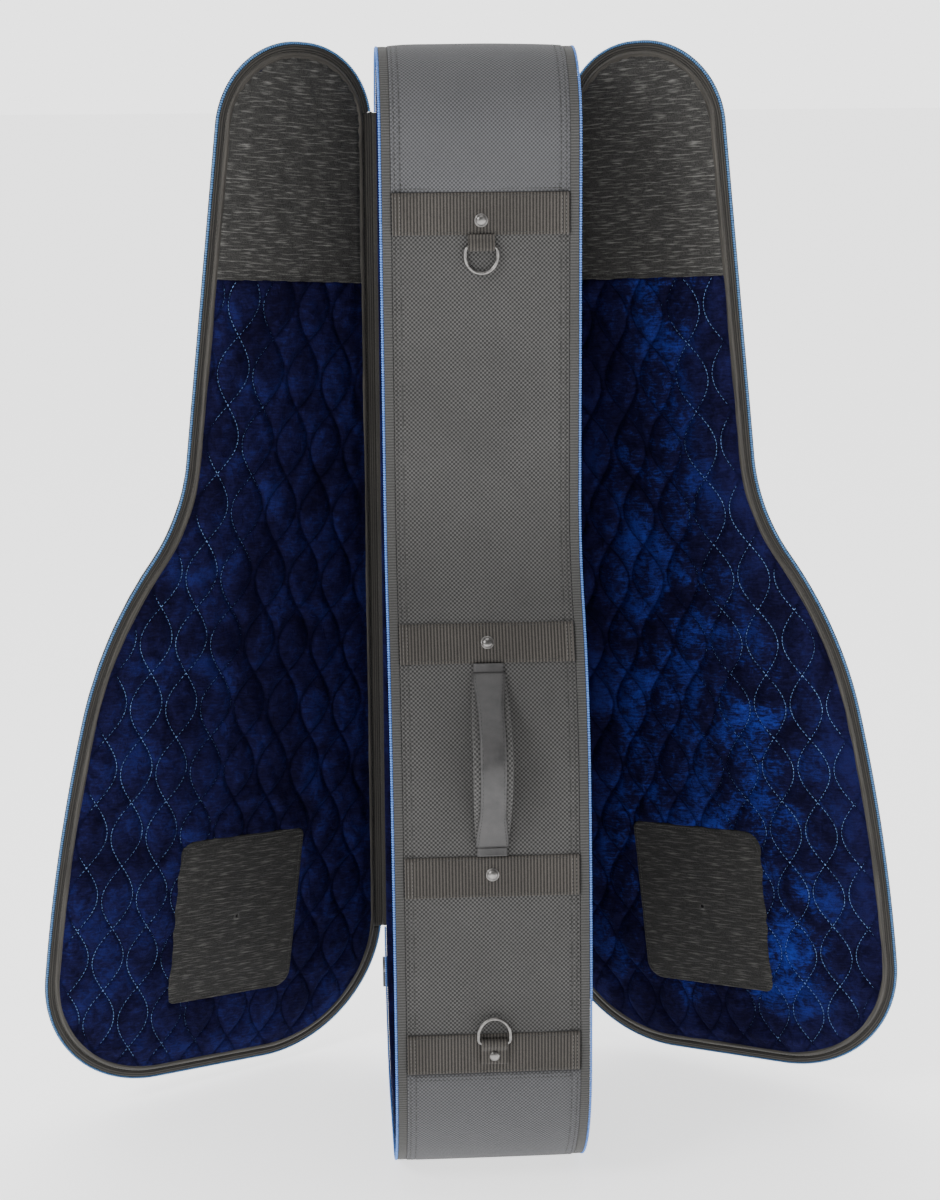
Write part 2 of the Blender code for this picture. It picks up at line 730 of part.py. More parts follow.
def loft(name, sections, material):
    """A closed solid through sections of equal point counts, given in world millimetres."""
    mesh = bpy.data.meshes.new(name)
    shape = bmesh.new()
    rows = [[shape.verts.new(point * MM) for point in section] for section in sections]
    count = len(rows[0])
    for first, second in zip(rows, rows[1:]):
        for i in range(count):
            j = (i + 1) % count
            shape.faces.new((first[i], first[j], second[j], second[i]))
    shape.faces.new(rows[0][::-1])
    shape.faces.new(rows[-1])
    bmesh.ops.recalc_face_normals(shape, faces=shape.faces)
    shape.to_mesh(mesh)
    shape.free()
    return finish(bpy.data.objects.new(name, mesh), material)


def handle_section(share, bottom, top, width, edge):
    """An eight-sided section across the handle between two lifts above its underside."""
    point, normal = handle_point(share)
    half = width / 2
    profile = (
        (-half + edge, bottom), (half - edge, bottom), (half, bottom + edge), (half, top - edge),
        (half - edge, top), (-half + edge, top), (-half, top - edge), (-half, bottom + edge),
    )
    found = []
    for x, lift in profile:
        place = point + normal * lift
        found.append(Vector((x, -place.x, place.y)))
    return found


def make_handle():
    inset_share = (HANDLE_TAB_LENGTH + GAP) / handle_line()[1].length
    pad, grip = [], []
    steps = 16
    for step in range(steps + 1):
        share = inset_share + (1 - 2 * inset_share) * step / steps
        swell = math.sin(math.pi * step / steps) ** 0.5
        pad_width = HANDLE_WIDTH - 8 * (1 - swell)
        pad.append(handle_section(share, 0.0, HANDLE_PAD * (0.55 + 0.45 * swell), pad_width, 1.4))
        grip_width = GRIP_END_WIDTH + (GRIP_MIDDLE_WIDTH - GRIP_END_WIDTH) * swell
        low = HANDLE_PAD * (0.55 + 0.45 * swell) + GAP
        grip.append(handle_section(share, low, low + GRIP, min(grip_width, pad_width + 4), 0.8))
    loft("handle_pad", pad, "ballistic_nylon")
    loft("handle_grip", grip, "leather")
    for name, low, high in (("lower", 0.0, inset_share), ("upper", 1 - inset_share, 1.0)):
        gap = GAP / handle_line()[1].length
        first, last = low + (gap if name == "upper" else 0), high - (gap if name == "lower" else 0)
        sections = []
        for step in range(4):
            share = first + (last - first) * step / 3
            sections.append(handle_section(share, 0.2, 3.4, HANDLE_TAB_WIDTH, 0.8))
        loft(f"handle_tab_{name}", sections, "leather")


# --- Zip sliders


def corner_frame(x, out_by):
    """A frame on the far tail corner: local X along world X, local Y up the zip, local Z outwards."""
    angle = math.pi - TILT + math.radians(SLIDER_PARK_ANGLE)
    normal = Vector((math.cos(angle), math.sin(angle)))
    point = TAIL_HINGE_CENTRE + normal * (TAIL_RADIUS + out_by)
    out = Vector((0, -normal.x, normal.y))
    across = Vector((1, 0, 0))
    rotation = Matrix((across, out.cross(across), out)).transposed().to_4x4()
    return Matrix.Translation(Vector((x, -point.x, point.y)) * MM) @ rotation


def make_slider(name, side):
    """A slider on the rim's coil, with an arched bridge for its pull. It turns about the corner's centre."""
    centre = Vector((0, -TAIL_HINGE_CENTRE.x, TAIL_HINGE_CENTRE.y)) * MM
    run = make_empty(f"zip_run_{name}", Matrix.Translation(centre))
    frame = corner_frame(side * (COIL_X + COIL_RADIUS + GAP - SLIDER_WIDTH / 2 + 2.0), SLIDER_CLEARANCE)
    body = box(
        f"zip_slider_{name}",
        (-SLIDER_WIDTH / 2, -SLIDER_LENGTH / 2, 0), (SLIDER_WIDTH / 2, SLIDER_LENGTH / 2, SLIDER_PLATE),
        "gunmetal", PARTS,
    )
    body.matrix_world = frame
    bevel = body.modifiers.new("rounded", "BEVEL")
    bevel.width = 0.9 * MM
    bevel.segments = 2
    arch = []
    for step in range(7):
        angle = math.pi * step / 6
        rise = SLIDER_PLATE - 0.6 + BRIDGE_RISE * math.sin(angle)
        arch.append(Vector((0, -BRIDGE_HALF * math.cos(angle), rise)) * MM)
    bridge = wire(f"bridge_{name}", arch, BRIDGE_WIRE, "gunmetal", collection=CUTTERS)
    bridge.matrix_world = frame
    boolean(body, as_mesh(bridge), "UNION")
    hang(body, run, centre)
    hang(make_pull(name, frame @ Vector((0, 0, PULL_BAR_HEIGHT * MM))), run, centre)


def make_pull(name, pivot):
    """A wire eye under the slider's bridge and a flat tab that hangs straight down from it."""
    half = PULL_WIDTH / 2 - BRIDGE_WIRE
    corners = [(-half, 0), (half, 0), (half, -PULL_EYE), (-half, -PULL_EYE)]
    eye = wire(
        f"zip_pull_{name}", [Vector((x, 0, z)) * MM for x, z in corners], BRIDGE_WIRE, "gunmetal",
        cyclic=True,
    )
    tab = box(
        f"pull_tab_{name}",
        (-PULL_WIDTH / 2, -PULL / 2, -PULL_LENGTH), (PULL_WIDTH / 2, PULL / 2, GAP - PULL_EYE), "leather",
    )
    eye = as_mesh(eye)
    eye.location = tab.location = pivot
    boolean(eye, tab, "UNION")
    return eye


def main():
    make_rim()
    make_divider()
    make_neck_supports()
    make_rim_zips()
    for name, side in SIDES.items():
        make_lid(name, side)
    make_webbing()
    make_rivets()
    for end in ("upper", "lower"):
        make_ring(end)
        make_ring_tab(end)
    make_handle()
    for name, side in SIDES.items():
        make_slider(name, side)


main()
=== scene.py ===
"""The look of a padded double gig bag, standing on its tail with both lids open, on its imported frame.

The outline lies in a plane of u (towards the handle, -Y) and v (up, +Z), in millimetres.
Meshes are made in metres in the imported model's frame.
"""
import math
from functools import partial

import bpy
import numpy as np
from mathutils import Matrix, Vector


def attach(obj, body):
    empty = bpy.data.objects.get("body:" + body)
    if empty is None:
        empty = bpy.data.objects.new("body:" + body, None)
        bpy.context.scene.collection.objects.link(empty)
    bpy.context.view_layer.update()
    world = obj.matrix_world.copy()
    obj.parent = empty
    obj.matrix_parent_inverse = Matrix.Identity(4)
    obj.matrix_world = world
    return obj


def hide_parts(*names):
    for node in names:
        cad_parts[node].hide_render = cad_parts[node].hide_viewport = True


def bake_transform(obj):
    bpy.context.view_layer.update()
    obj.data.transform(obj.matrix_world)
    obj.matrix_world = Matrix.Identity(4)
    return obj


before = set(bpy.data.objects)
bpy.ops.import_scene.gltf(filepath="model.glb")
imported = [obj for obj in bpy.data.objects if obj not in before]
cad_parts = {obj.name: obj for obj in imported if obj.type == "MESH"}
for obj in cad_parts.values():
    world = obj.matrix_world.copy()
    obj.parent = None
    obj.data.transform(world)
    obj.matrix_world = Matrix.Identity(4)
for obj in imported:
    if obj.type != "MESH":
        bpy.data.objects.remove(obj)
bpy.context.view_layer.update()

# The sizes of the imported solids
LENGTH, HANDLE_HALF, HINGE_HALF = 1070.0, 199.0, 198.0
NECK_HANDLE_HALF, NECK_HINGE_HALF = 90.0, 80.0
RIM_DEPTH = 185.0
TAIL_RADIUS, HEAD_RADIUS = 135.0, 82.0
FLANK_RADIUS, FLANK_LENGTH = 1900.0, 270.0
SHOULDER_RADIUS, THROAT_RADIUS = 400.0, 180.0
SEAM_HALF = 81.0  # from the rim's middle to the seams beside the zips
RIM_INNER = 18.9  # the velvet's inset
LID_OPEN = {"left": 60.4, "right": 57.0}
SIDES = {"left": -1, "right": 1}
TAIL_SEAM, HEAD_SEAM = 136.7, 939.3
BANDS, BAND_WIDTH = (901.0, 516.0, 306.0, 137.0), 38.0
RIVETS = (914.0, 533.0, 327.0, 155.0)
RING_WIDTH, RING_HEIGHT, RING_WIRE = 33.0, 27.0, 3.5
RING_BARS = {"upper": 890.0, "lower": 168.0}
RING_LIFTS = {"upper": 3.15, "lower": 5.25}
HANDLE_RISE, HANDLE_TAB = 38.0, 0.052  # the arch, and the share at each end that is only its tab
SLIDER_X, SLIDER_TURN = 90.3, 26.0
CRADLE_LOW, CRADLE_HIGH = 690.0, 752.0
NECK_MIDDLE = -16.1
STRAP_LOW, STRAP_WIDTH, STRAP_HALF = 702.0, 38.0, 40.5
PATCH_HEM = 844.0  # the head patches' lower edge
PATCH = (-12.0, 175.0, 72.0, 91.0)  # the bridge patches' middle, half width and half height

TOOTH = 2.3  # the coils' pitch
EDGE_SEAMS = (3.2, 8.2)  # the rim's rows of stitches, in from each edge

# The quilting: chains of ovals between two mirrored waves of stitches
CHAIN, OVAL, OVAL_HALF = 38.9, 68.2, 17.0
QUILT = {"left": (45.7, 789.8, 4.2), "right": (30.0, 778.6, 2.3)}  # u, v and turn of one crossing

# --- The outline, from the hinge line's lower end round the tail and up


def hinge_tilt():
    across = HEAD_RADIUS - NECK_HINGE_HALF - (TAIL_RADIUS - HINGE_HALF)
    up = LENGTH - HEAD_RADIUS - TAIL_RADIUS
    return math.atan2(across, up) + math.asin((TAIL_RADIUS - HEAD_RADIUS) / math.hypot(across, up))


TILT = hinge_tilt()


def arc(centre, radius, start, end):
    """Points about 3 mm apart, and their normals."""
    count = max(4, int(abs(radius * (end - start)) / 3.0))
    angles = np.linspace(start, end, count + 1)
    normals = np.c_[np.cos(angles), np.sin(angles)]
    return np.asarray(centre) + normals * radius, normals


def lengths(line):
    """The distance along a polyline at each of its points."""
    return np.r_[0, np.cumsum(np.linalg.norm(np.diff(line, axis=0), axis=1))]


def resampled(line, places):
    """The polyline's points at those distances along it."""
    run = lengths(line)
    return np.stack([np.interp(places, run, line[:, k]) for k in (0, 1)], -1)


def outline():
    quarter = math.pi / 2
    flank = np.array((HANDLE_HALF - FLANK_RADIUS, TAIL_RADIUS))
    flank_end = math.asin(FLANK_LENGTH / FLANK_RADIUS)
    toward = np.array((math.cos(flank_end), math.sin(flank_end)))
    shoulder = flank + toward * (FLANK_RADIUS - SHOULDER_RADIUS)
    both = SHOULDER_RADIUS + THROAT_RADIUS
    lean = math.acos((NECK_HANDLE_HALF + THROAT_RADIUS - shoulder[0]) / both)
    throat = shoulder + np.array((math.cos(lean), math.sin(lean))) * both
    top = LENGTH - HEAD_RADIUS
    pieces = [
        arc((TAIL_RADIUS - HINGE_HALF, TAIL_RADIUS), TAIL_RADIUS, 2 * quarter - TILT, 3 * quarter),
        arc((HANDLE_HALF - TAIL_RADIUS, TAIL_RADIUS), TAIL_RADIUS, -quarter, 0),
        arc(flank, FLANK_RADIUS, 0, flank_end),
        arc(shoulder, SHOULDER_RADIUS, flank_end, lean),
        arc(throat, -THROAT_RADIUS, lean, 0),
        arc((NECK_HANDLE_HALF - HEAD_RADIUS, top), HEAD_RADIUS, 0, quarter),
        arc((HEAD_RADIUS - NECK_HINGE_HALF, top), HEAD_RADIUS, quarter, 2 * quarter - TILT),
    ]
    points, normals = (np.concatenate(part) for part in zip(*pieces))
    keep = np.r_[True, np.linalg.norm(np.diff(points, axis=0), axis=1) > 0.01]
    points, normals = (np.vstack([part[keep], part[:1]]) for part in (points, normals))
    return points, normals, lengths(points)


POINTS, NORMALS, RUNS = outline()
AROUND = RUNS[-1]
HINGE_RUN = RUNS[-2]  # where the hinge line starts, at its head end
ZIP_START, ZIP_END = math.radians(8) * TAIL_RADIUS, HINGE_RUN - math.radians(8) * HEAD_RADIUS


def along(runs, inset=0.0):
    """(point, normal) arrays at distances round the outline."""
    runs = np.asarray(runs, float) % AROUND
    point = np.stack([np.interp(runs, RUNS, POINTS[:, k]) for k in (0, 1)], -1)
    normal = np.stack([np.interp(runs, RUNS, NORMALS[:, k]) for k in (0, 1)], -1)
    normal /= np.linalg.norm(normal, axis=-1, keepdims=True)
    return point - normal * np.asarray(inset)[..., None], normal


def run_at(height, side="handle"):
    """The distance round the outline where a side passes a height."""
    if side == "hinge":
        low, high = POINTS[-1][1], POINTS[-2][1]
        if height >= low:
            return AROUND - (height - low) / (high - low) * (AROUND - HINGE_RUN)
        chosen = (RUNS < 250) & (NORMALS[:, 0] < 0)
        return float(np.interp(-height, -POINTS[chosen, 1], RUNS[chosen]))
    chosen = (NORMALS[:, 0] > 0) & (RUNS < HINGE_RUN)
    return float(np.interp(height, POINTS[chosen, 1], RUNS[chosen]))


def spaced(start, end, step):
    return np.linspace(start, end, max(2, int(round((end - start) / step)) + 1))


# --- Millimetres to metres in the rest pose


def rim_place(x, u, v):
    return np.stack(np.broadcast_arrays(x, -np.asarray(u, float), v), -1) / 1000


def rim_vector(direction):
    """Directions in the outline's plane, in the world."""
    return np.c_[np.zeros(len(direction)), -direction[:, 0], direction[:, 1]]


def lid_turn(name, side):
    pivot = Vector((side * RIM_DEPTH / 2, -POINTS[0][0], POINTS[0][1])) / 1000
    axis = Vector((0, -math.sin(TILT), math.cos(TILT)))
    turn = Matrix.Rotation(side * math.radians(LID_OPEN[name]), 4, axis)
    return np.array(Matrix.Translation(pivot) @ turn @ Matrix.Translation(-pivot))


TURNS = {side: lid_turn(name, side) for name, side in SIDES.items()}


def lid_place(side, w, u, v):
    """A place on a lid, with w outwards from the closing plane."""
    turn = TURNS[side]
    closed = rim_place(side * (RIM_DEPTH / 2 + np.asarray(w, float)), u, v)
    return closed @ turn[:3, :3].T + turn[:3, 3]


def turned(points, matrix):
    """Local points in millimetres, put in the world by a matrix."""
    turn = np.array(matrix)
    return np.asarray(points) / 1000 @ turn[:3, :3].T + turn[:3, 3]


# --- Meshes

MATERIALS = {}
HOME = bpy.data.collections.new("looks")
bpy.context.scene.collection.children.link(HOME)


def add(name, points, faces, material, body, uv=None, quilt=None, nodes=()):
    """A mesh piece in world metres that rides on its body, if it has one, and stands for CAD nodes."""
    mesh = bpy.data.meshes.new(name)
    mesh.from_pydata(np.asarray(points).reshape(-1, 3).tolist(), [], [list(map(int, f)) for f in faces])
    mesh.update()
    index = np.empty(len(mesh.loops), np.int32)
    mesh.loops.foreach_get("vertex_index", index)
    for layer, values in (("cloth", uv), ("quilt", quilt)):
        if values is not None:
            values = np.asarray(values, np.float32).reshape(-1, 2)
            mesh.uv_layers.new(name=layer).data.foreach_set("uv", values[index].ravel())
    mesh.polygons.foreach_set("use_smooth", [True] * len(mesh.polygons))
    obj = bpy.data.objects.new(name, mesh)
    HOME.objects.link(obj)
    mesh.materials.append(MATERIALS[material])
    if body:
        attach(obj, body)
    if nodes:
        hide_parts(*nodes)
    return obj


def grid_faces(rows, columns, loop_rows=False, loop_columns=False, flip=False):
    i = np.arange(rows if loop_rows else rows - 1)
    j = np.arange(columns if loop_columns else columns - 1)
    i, j = np.meshgrid(i, j, indexing="ij")
    i2, j2 = (i + 1) % rows, (j + 1) % columns
    corners = [i * columns + j, i2 * columns + j, i2 * columns + j2, i * columns + j2]
    faces = np.stack(corners, -1).reshape(-1, 4)
    return faces[:, ::-1] if flip else faces


def sweep(name, rows, material, body, closed=False, flip=False, **more):
    """A skin over rows of sections, with flat caps on an open run's ends."""
    rows = np.asarray(rows)
    count, size = rows.shape[:2]
    faces = grid_faces(count, size, closed, True, flip).tolist()
    if not closed:
        first, last = list(range(size)), list(range((count - 1) * size, count * size))
        faces += [first[::-1], last] if flip else [first, last[::-1]]
    return add(name, rows, faces, material, body, **more)


def tube_rows(centres, across, up, radii, sides):
    """Circular sections round a line, from two unit directions at each point."""
    angles = np.linspace(0, 2 * math.pi, sides, endpoint=False)
    ring = np.stack([np.cos(angles), np.sin(angles)], -1)
    radii = np.broadcast_to(np.asarray(radii, float), (len(centres),))[:, None, None]
    return centres[:, None] + radii * (across[:, None] * ring[:, :1] + up[:, None] * ring[:, 1:])


def frames_of(line, up):
    """Unit across and up directions along a polyline, where up is a rough guide at each point."""
    forward = np.gradient(np.asarray(line, float), axis=0)
    forward /= np.linalg.norm(forward, axis=1, keepdims=True)
    across = np.cross(forward, np.broadcast_to(np.asarray(up, float), forward.shape))
    across /= np.linalg.norm(across, axis=1, keepdims=True)
    return across, np.cross(across, forward)


def rod(name, points, up, radius, material, body, closed=False, nodes=(), sides=10):
    points = np.asarray(points, float)
    line = np.vstack([points[-1:], points, points[:1]]) if closed else points
    across, tops = frames_of(line, up)
    if closed:
        across, tops = across[1:-1], tops[1:-1]
    rows = tube_rows(points, across, tops, radius / 1000, sides)
    return sweep(name, rows, material, body, closed=closed, nodes=nodes)


def rim_rows(runs, x, lift, side=1):
    """Sections round the rim through (x, lift) pairs, and their cloth map."""
    x, lift = np.broadcast_arrays(x, lift, np.empty((len(runs), 1)))[:2]
    point, normal = along(runs)
    spot = point[:, None] + normal[:, None] * lift[..., None]
    uv = np.stack(np.broadcast_arrays(x, runs[:, None]), -1) / 1000
    return rim_place(side * x, spot[..., 0], spot[..., 1]), uv


def lid_rows(place, runs, insets, heights):
    """Sections round a lid through (inset, w) pairs, and their cloth map."""
    insets, heights = np.broadcast_arrays(insets, heights, np.empty((len(runs), 1)))[:2]
    point, normal = along(runs)
    spot = point[:, None] - normal[:, None] * insets[..., None]
    across = lengths(np.c_[insets[0], heights[0]])
    uv = np.stack(np.broadcast_arrays(runs[:, None], across), -1) / 1000
    return place(heights, spot[..., 0], spot[..., 1]), uv


def masked_grid(name, u, v, place, keep, material, body, quilt=None, flip=False, nodes=()):
    """The cells of a grid whose corners are all kept."""
    faces = grid_faces(*keep.shape, flip=flip)
    faces = faces[keep.ravel()[faces].all(1)]
    used = np.unique(faces)
    index = np.zeros(keep.size, int)
    index[used] = np.arange(len(used))
    cloth = np.stack([u, v], -1).reshape(-1, 2)[used] / 1000
    pile = None if quilt is None else quilt.reshape(-1, 2)[used]
    return add(name, place.reshape(-1, 3)[used], index[faces], material, body, uv=cloth, quilt=pile, nodes=nodes)


def plane_grid(step):
    return np.meshgrid(np.arange(-205.0, 205.0, step), np.arange(0.0, 1075.0, step), indexing="ij")


def thicken(panel):
    solid = panel.modifiers.new("thickness", "SOLIDIFY")
    solid.thickness, solid.offset = 0.002, -1


# One stitch: shares of its half length, half width and rise at each corner
STITCH = ((-1, 0, -0.6), (-0.55, 1, 0), (-0.55, 0, 1), (-0.55, -1, 0),
          (0.55, 1, 0), (0.55, 0, 1), (0.55, -1, 0), (1, 0, -0.6))
STITCH_FACES = ((0, 2, 1), (0, 3, 2), (1, 2, 5, 4), (2, 3, 6, 5), (4, 5, 7), (5, 6, 7))


def stitches(name, centres, forward, up, body, material="thread_dark", length=3.2, width=0.75, rise=0.4):
    """Short threads lying on a surface, all in metres apart from the three sizes."""
    centres, forward, up = (np.asarray(a, float).reshape(-1, 3) for a in (centres, forward, up))
    forward = forward / np.linalg.norm(forward, axis=1, keepdims=True)
    side = np.cross(forward, up)
    side /= np.linalg.norm(side, axis=1, keepdims=True)
    up = np.cross(side, forward)
    points = [centres + forward * f * length / 2000 + side * s * width / 2000 + up * u * rise / 1000
              for f, s, u in STITCH]
    faces = [[i * len(STITCH) + k for k in face] for i in range(len(centres)) for face in STITCH_FACES]
    return add(name, np.stack(points, 1), faces, material, body)


def rim_stitches(name, start, end, x, inset, pitch=4.6, **more):
    """A row of stitches round the rim at a fixed X."""
    point, normal = along(np.arange(start, end, pitch), inset)
    forward = rim_vector(np.c_[-normal[:, 1], normal[:, 0]])
    return stitches(name, rim_place(x, *point.T), forward, rim_vector(normal), "rim", **more)


def cross_stitches(name, run, inset, half, pitch=4.2):
    """A row of stitches across the rim, along X."""
    x = np.arange(-half, half, pitch)
    point, normal = along(np.full(len(x), run), inset)
    forward = np.tile((1.0, 0, 0), (len(x), 1))
    return stitches(name, rim_place(x, *point.T), forward, rim_vector(normal), "rim")


def sheet_stitches(name, place, points, ahead, level, facing, body, **more):
    """Stitches at places on a lid or divider, towards the places ahead, on the side that w grows or shrinks to."""
    centres = place(level, *points.T)
    forward, up = place(level, *ahead.T) - centres, place(level + facing, *points.T) - centres
    return stitches(name, centres, forward, up, body, **more)


def smoothstep(low, high, value):
    t = np.clip((np.asarray(value, float) - low) / (high - low), 0, 1)
    return t * t * (3 - 2 * t)


def ripple(a, b, scale, seed=0):
    """Smooth, gentle unevenness between about -1 and 1, with a wavelength near scale."""
    total = np.zeros(np.broadcast(a, b).shape)
    picks = np.random.default_rng(seed)
    for _ in range(7):
        turn, phase, size = picks.uniform(0, math.tau), picks.uniform(0, math.tau), picks.uniform(0.6, 1.7)
        k = math.tau / (scale * size)
        total = total + np.sin(k * (a * math.cos(turn) + b * math.sin(turn)) + phase)
    return total / 3.2


# --- Materials


class Nodes:
    """A small builder for one Principled material."""

    def __init__(self, name, colour, roughness, metallic=0.0):
        self.material = bpy.data.materials.new(name)
        self.material.use_nodes = True
        self.tree = self.material.node_tree
        self.shader = self.tree.nodes["Principled BSDF"]
        self.put("Base Color", (*colour, 1))
        self.put("Roughness", roughness)
        self.put("Metallic", metallic)
        self.material.diffuse_color = (*colour, 1)
        MATERIALS[name] = self.material

    def put(self, socket, value):
        self.shader.inputs[socket].default_value = value

    def link(self, source, socket):
        self.tree.links.new(source, self.shader.inputs[socket])

    def node(self, kind, inputs=None, **settings):
        made = self.tree.nodes.new(kind)
        for key, value in settings.items():
            setattr(made, key, value)
        for key, value in (inputs or {}).items():
            socket = made.inputs[key]
            if isinstance(value, bpy.types.NodeSocket):
                self.tree.links.new(value, socket)
            else:
                socket.default_value = value
        return made

    def math(self, operation, first, second=0.0):
        return self.node("ShaderNodeMath", {0: first, 1: second}, operation=operation).outputs[0]

    def times(self, first, second):
        return self.math("MULTIPLY", first, second)

    def plus(self, first, second):
        return self.math("ADD", first, second)

    def wave(self, value, pitch):
        return self.math("SINE", self.times(value, math.tau / pitch))

    def layer(self, name):
        return self.node("ShaderNodeUVMap", uv_map=name).outputs[0]

    def parts(self, vector):
        return self.node("ShaderNodeSeparateXYZ", {0: vector}).outputs

    def noise(self, vector, scale, detail, rough, distortion):
        sockets = {"Vector": vector, "Scale": scale, "Detail": detail, "Roughness": rough, "Distortion": distortion}
        return self.node("ShaderNodeTexNoise", sockets).outputs[0]

    def grain(self, scale, detail=3.0, rough=0.5, distortion=0.0):
        """Noise through the solid, with scale in waves a metre."""
        place = self.node("ShaderNodeTexCoord").outputs["Object"]
        return self.noise(place, scale, detail, rough, distortion)

    def streaks(self, across, ahead, detail=3.0, rough=0.6):
        """Noise along the cloth, stretched differently in its two directions."""
        sockets = {"Vector": self.layer("cloth"), "Scale": (across, ahead, 1)}
        return self.noise(self.node("ShaderNodeMapping", sockets).outputs[0], 1.0, detail, rough, 0.0)

    def spread(self, value, low, high, to_low=0.0, to_high=1.0):
        sockets = {0: value, 1: low, 2: high, 3: to_low, 4: to_high}
        return self.node("ShaderNodeMapRange", sockets).outputs[0]

    def mix(self, factor, first, second):
        colours = [(*value, 1) if isinstance(value, tuple) else value for value in (first, second)]
        return self.node("ShaderNodeMix", {0: factor, 6: colours[0], 7: colours[1]}, data_type="RGBA").outputs[2]

    def bump(self, height, distance, strength=1.0):
        sockets = {"Height": height, "Distance": distance, "Strength": strength}
        self.link(self.node("ShaderNodeBump", sockets).outputs[0], "Normal")


def woven(name, dark, light, pitch, bump):
    """A plain cloth with a visible basket weave and slight unevenness of colour."""
    m = Nodes(name, light, 0.85)
    parts = m.parts(m.layer("cloth"))
    basket = m.times(m.wave(parts[0], pitch), m.wave(parts[1], pitch))
    basket = m.spread(m.plus(m.times(basket, 0.5), 0.5), 0.36, 0.64)
    fine = m.grain(900, 2)
    level = m.plus(m.times(basket, 0.7), m.times(fine, 0.3))
    colour = m.mix(m.spread(level, 0.1, 0.85), dark, light)
    m.link(m.mix(m.spread(m.grain(9, 4, 0.6), 0.3, 0.7, 0.0, 0.25), colour, dark), "Base Color")
    m.put("Sheen Weight", 0.08)
    m.put("Sheen Roughness", 0.5)
    m.put("Specular IOR Level", 0.15)
    m.bump(m.plus(basket, fine), bump, 0.6)


def ribbed(name, dark, light, pitch, direction):
    """Webbing and tapes, with ribs across one direction of the cloth map."""
    m = Nodes(name, light, 0.8)
    rib = m.wave(m.parts(m.layer("cloth"))[direction], pitch)
    level = m.plus(m.times(rib, 0.42), m.grain(1100, 2))
    colour = m.mix(m.spread(level, 0.1, 0.9), dark, light)
    m.link(m.mix(m.spread(m.grain(14, 3, 0.6), 0.35, 0.7, 0, 0.3), colour, dark), "Base Color")
    m.put("Sheen Weight", 0.08)
    m.put("Specular IOR Level", 0.2)
    m.bump(level, 0.0003, 0.6)


def make_binding():
    m = Nodes("binding", (0.05, 0.045, 0.038), 0.62)
    weave = m.grain(1400, 2)
    colour = m.mix(m.spread(m.streaks(18, 700), 0.35, 0.65), (0.020, 0.018, 0.015), (0.075, 0.068, 0.058))
    m.link(m.mix(m.spread(weave, 0.3, 0.7, 0, 0.35), colour, (0.014, 0.012, 0.010)), "Base Color")
    m.put("Sheen Weight", 0.12)
    m.put("Specular IOR Level", 0.35)
    m.bump(weave, 0.0002)


def make_velvet():
    """Velvet with random crushed patches, painted shade in its quilting's creases and a painted sheen, these two
    from its quilt map.
    """
    m = Nodes("velvet", (0.007, 0.011, 0.060), 0.8)
    crush_and_painted_sheen, patch, pile = m.grain(120, 6, 0.75, 1.0), m.grain(15, 3, 0.6, 0.9), m.grain(1500, 2)
    level = m.plus(m.times(crush_and_painted_sheen, 0.34), m.times(patch, 0.42))
    level = m.plus(level, m.times(m.streaks(110, 520), 0.24))
    crease, painted_sheen_share = m.parts(m.layer("quilt"))[:2]
    colour = m.mix(m.spread(level, 0.42, 0.58), (0.0050, 0.0042, 0.017), (0.0125, 0.0125, 0.066))
    # painted sheen: bright cobalt over the lighter patches, scaled by the painted sheen share
    bright = m.times(m.spread(level, 0.50, 0.64), m.plus(painted_sheen_share, 0.06))
    colour = m.mix(bright, colour, (0.020, 0.050, 0.420))
    colour = m.mix(m.spread(pile, 0.35, 0.7, 0, 0.45), colour, (0.0040, 0.0036, 0.015))
    # painted shade in the quilting's creases
    m.link(m.mix(m.spread(crease, 0.3, 1.0, 0, 0.6), colour, (0.0020, 0.0022, 0.010)), "Base Color")
    m.put("Sheen Weight", 0.06)
    m.put("Sheen Roughness", 0.30)
    m.put("Sheen Tint", (0.14, 0.22, 1.0, 1))
    m.put("Specular IOR Level", 0.02)
    m.bump(m.plus(pile, m.times(crush_and_painted_sheen, 2.5)), 0.0010, 0.8)


def make_heather(name, gain):
    """Mottled cloth with pale slubs along one direction."""
    def tone(*colour):
        return tuple(gain * c for c in colour)

    m = Nodes(name, tone(0.022, 0.021, 0.020), 0.85)
    streak, speck = m.streaks(60, 620, 2, 0.5), m.grain(900, 3)
    colour = m.mix(m.spread(speck, 0.3, 0.7), tone(0.010, 0.0098, 0.0092), tone(0.036, 0.035, 0.033))
    colour = m.mix(m.spread(streak, 0.52, 0.70, 0, 0.8), colour, tone(0.120, 0.117, 0.110))
    broad = m.spread(m.streaks(24, 130), 0.4, 0.7, 0, 0.5)
    m.link(m.mix(broad, colour, tone(0.013, 0.0125, 0.012)), "Base Color")
    m.put("Sheen Weight", 0.08)
    m.put("Specular IOR Level", 0.25)
    m.bump(m.plus(speck, streak), 0.0006)


def make_leather():
    m = Nodes("leather", (0.045, 0.044, 0.044), 0.45)
    place = m.node("ShaderNodeTexCoord").outputs["Object"]
    grain = m.node("ShaderNodeTexVoronoi", {"Vector": place, "Scale": 1100.0}).outputs[0]
    cloud = m.grain(60, 4, 0.6)
    m.link(m.mix(m.spread(cloud, 0.3, 0.7), (0.026, 0.0255, 0.026), (0.060, 0.058, 0.058)), "Base Color")
    m.link(m.spread(cloud, 0.3, 0.7, 0.38, 0.58), "Roughness")
    m.bump(grain, 0.00015, 0.7)


def make_gunmetal():
    m = Nodes("gunmetal", (0.20, 0.19, 0.185), 0.24, 1.0)
    wear = m.grain(160)
    m.link(m.spread(wear, 0.3, 0.7, 0.27, 0.38), "Roughness")
    m.link(m.mix(m.spread(wear, 0.35, 0.7), (0.16, 0.155, 0.15), (0.30, 0.29, 0.28)), "Base Color")


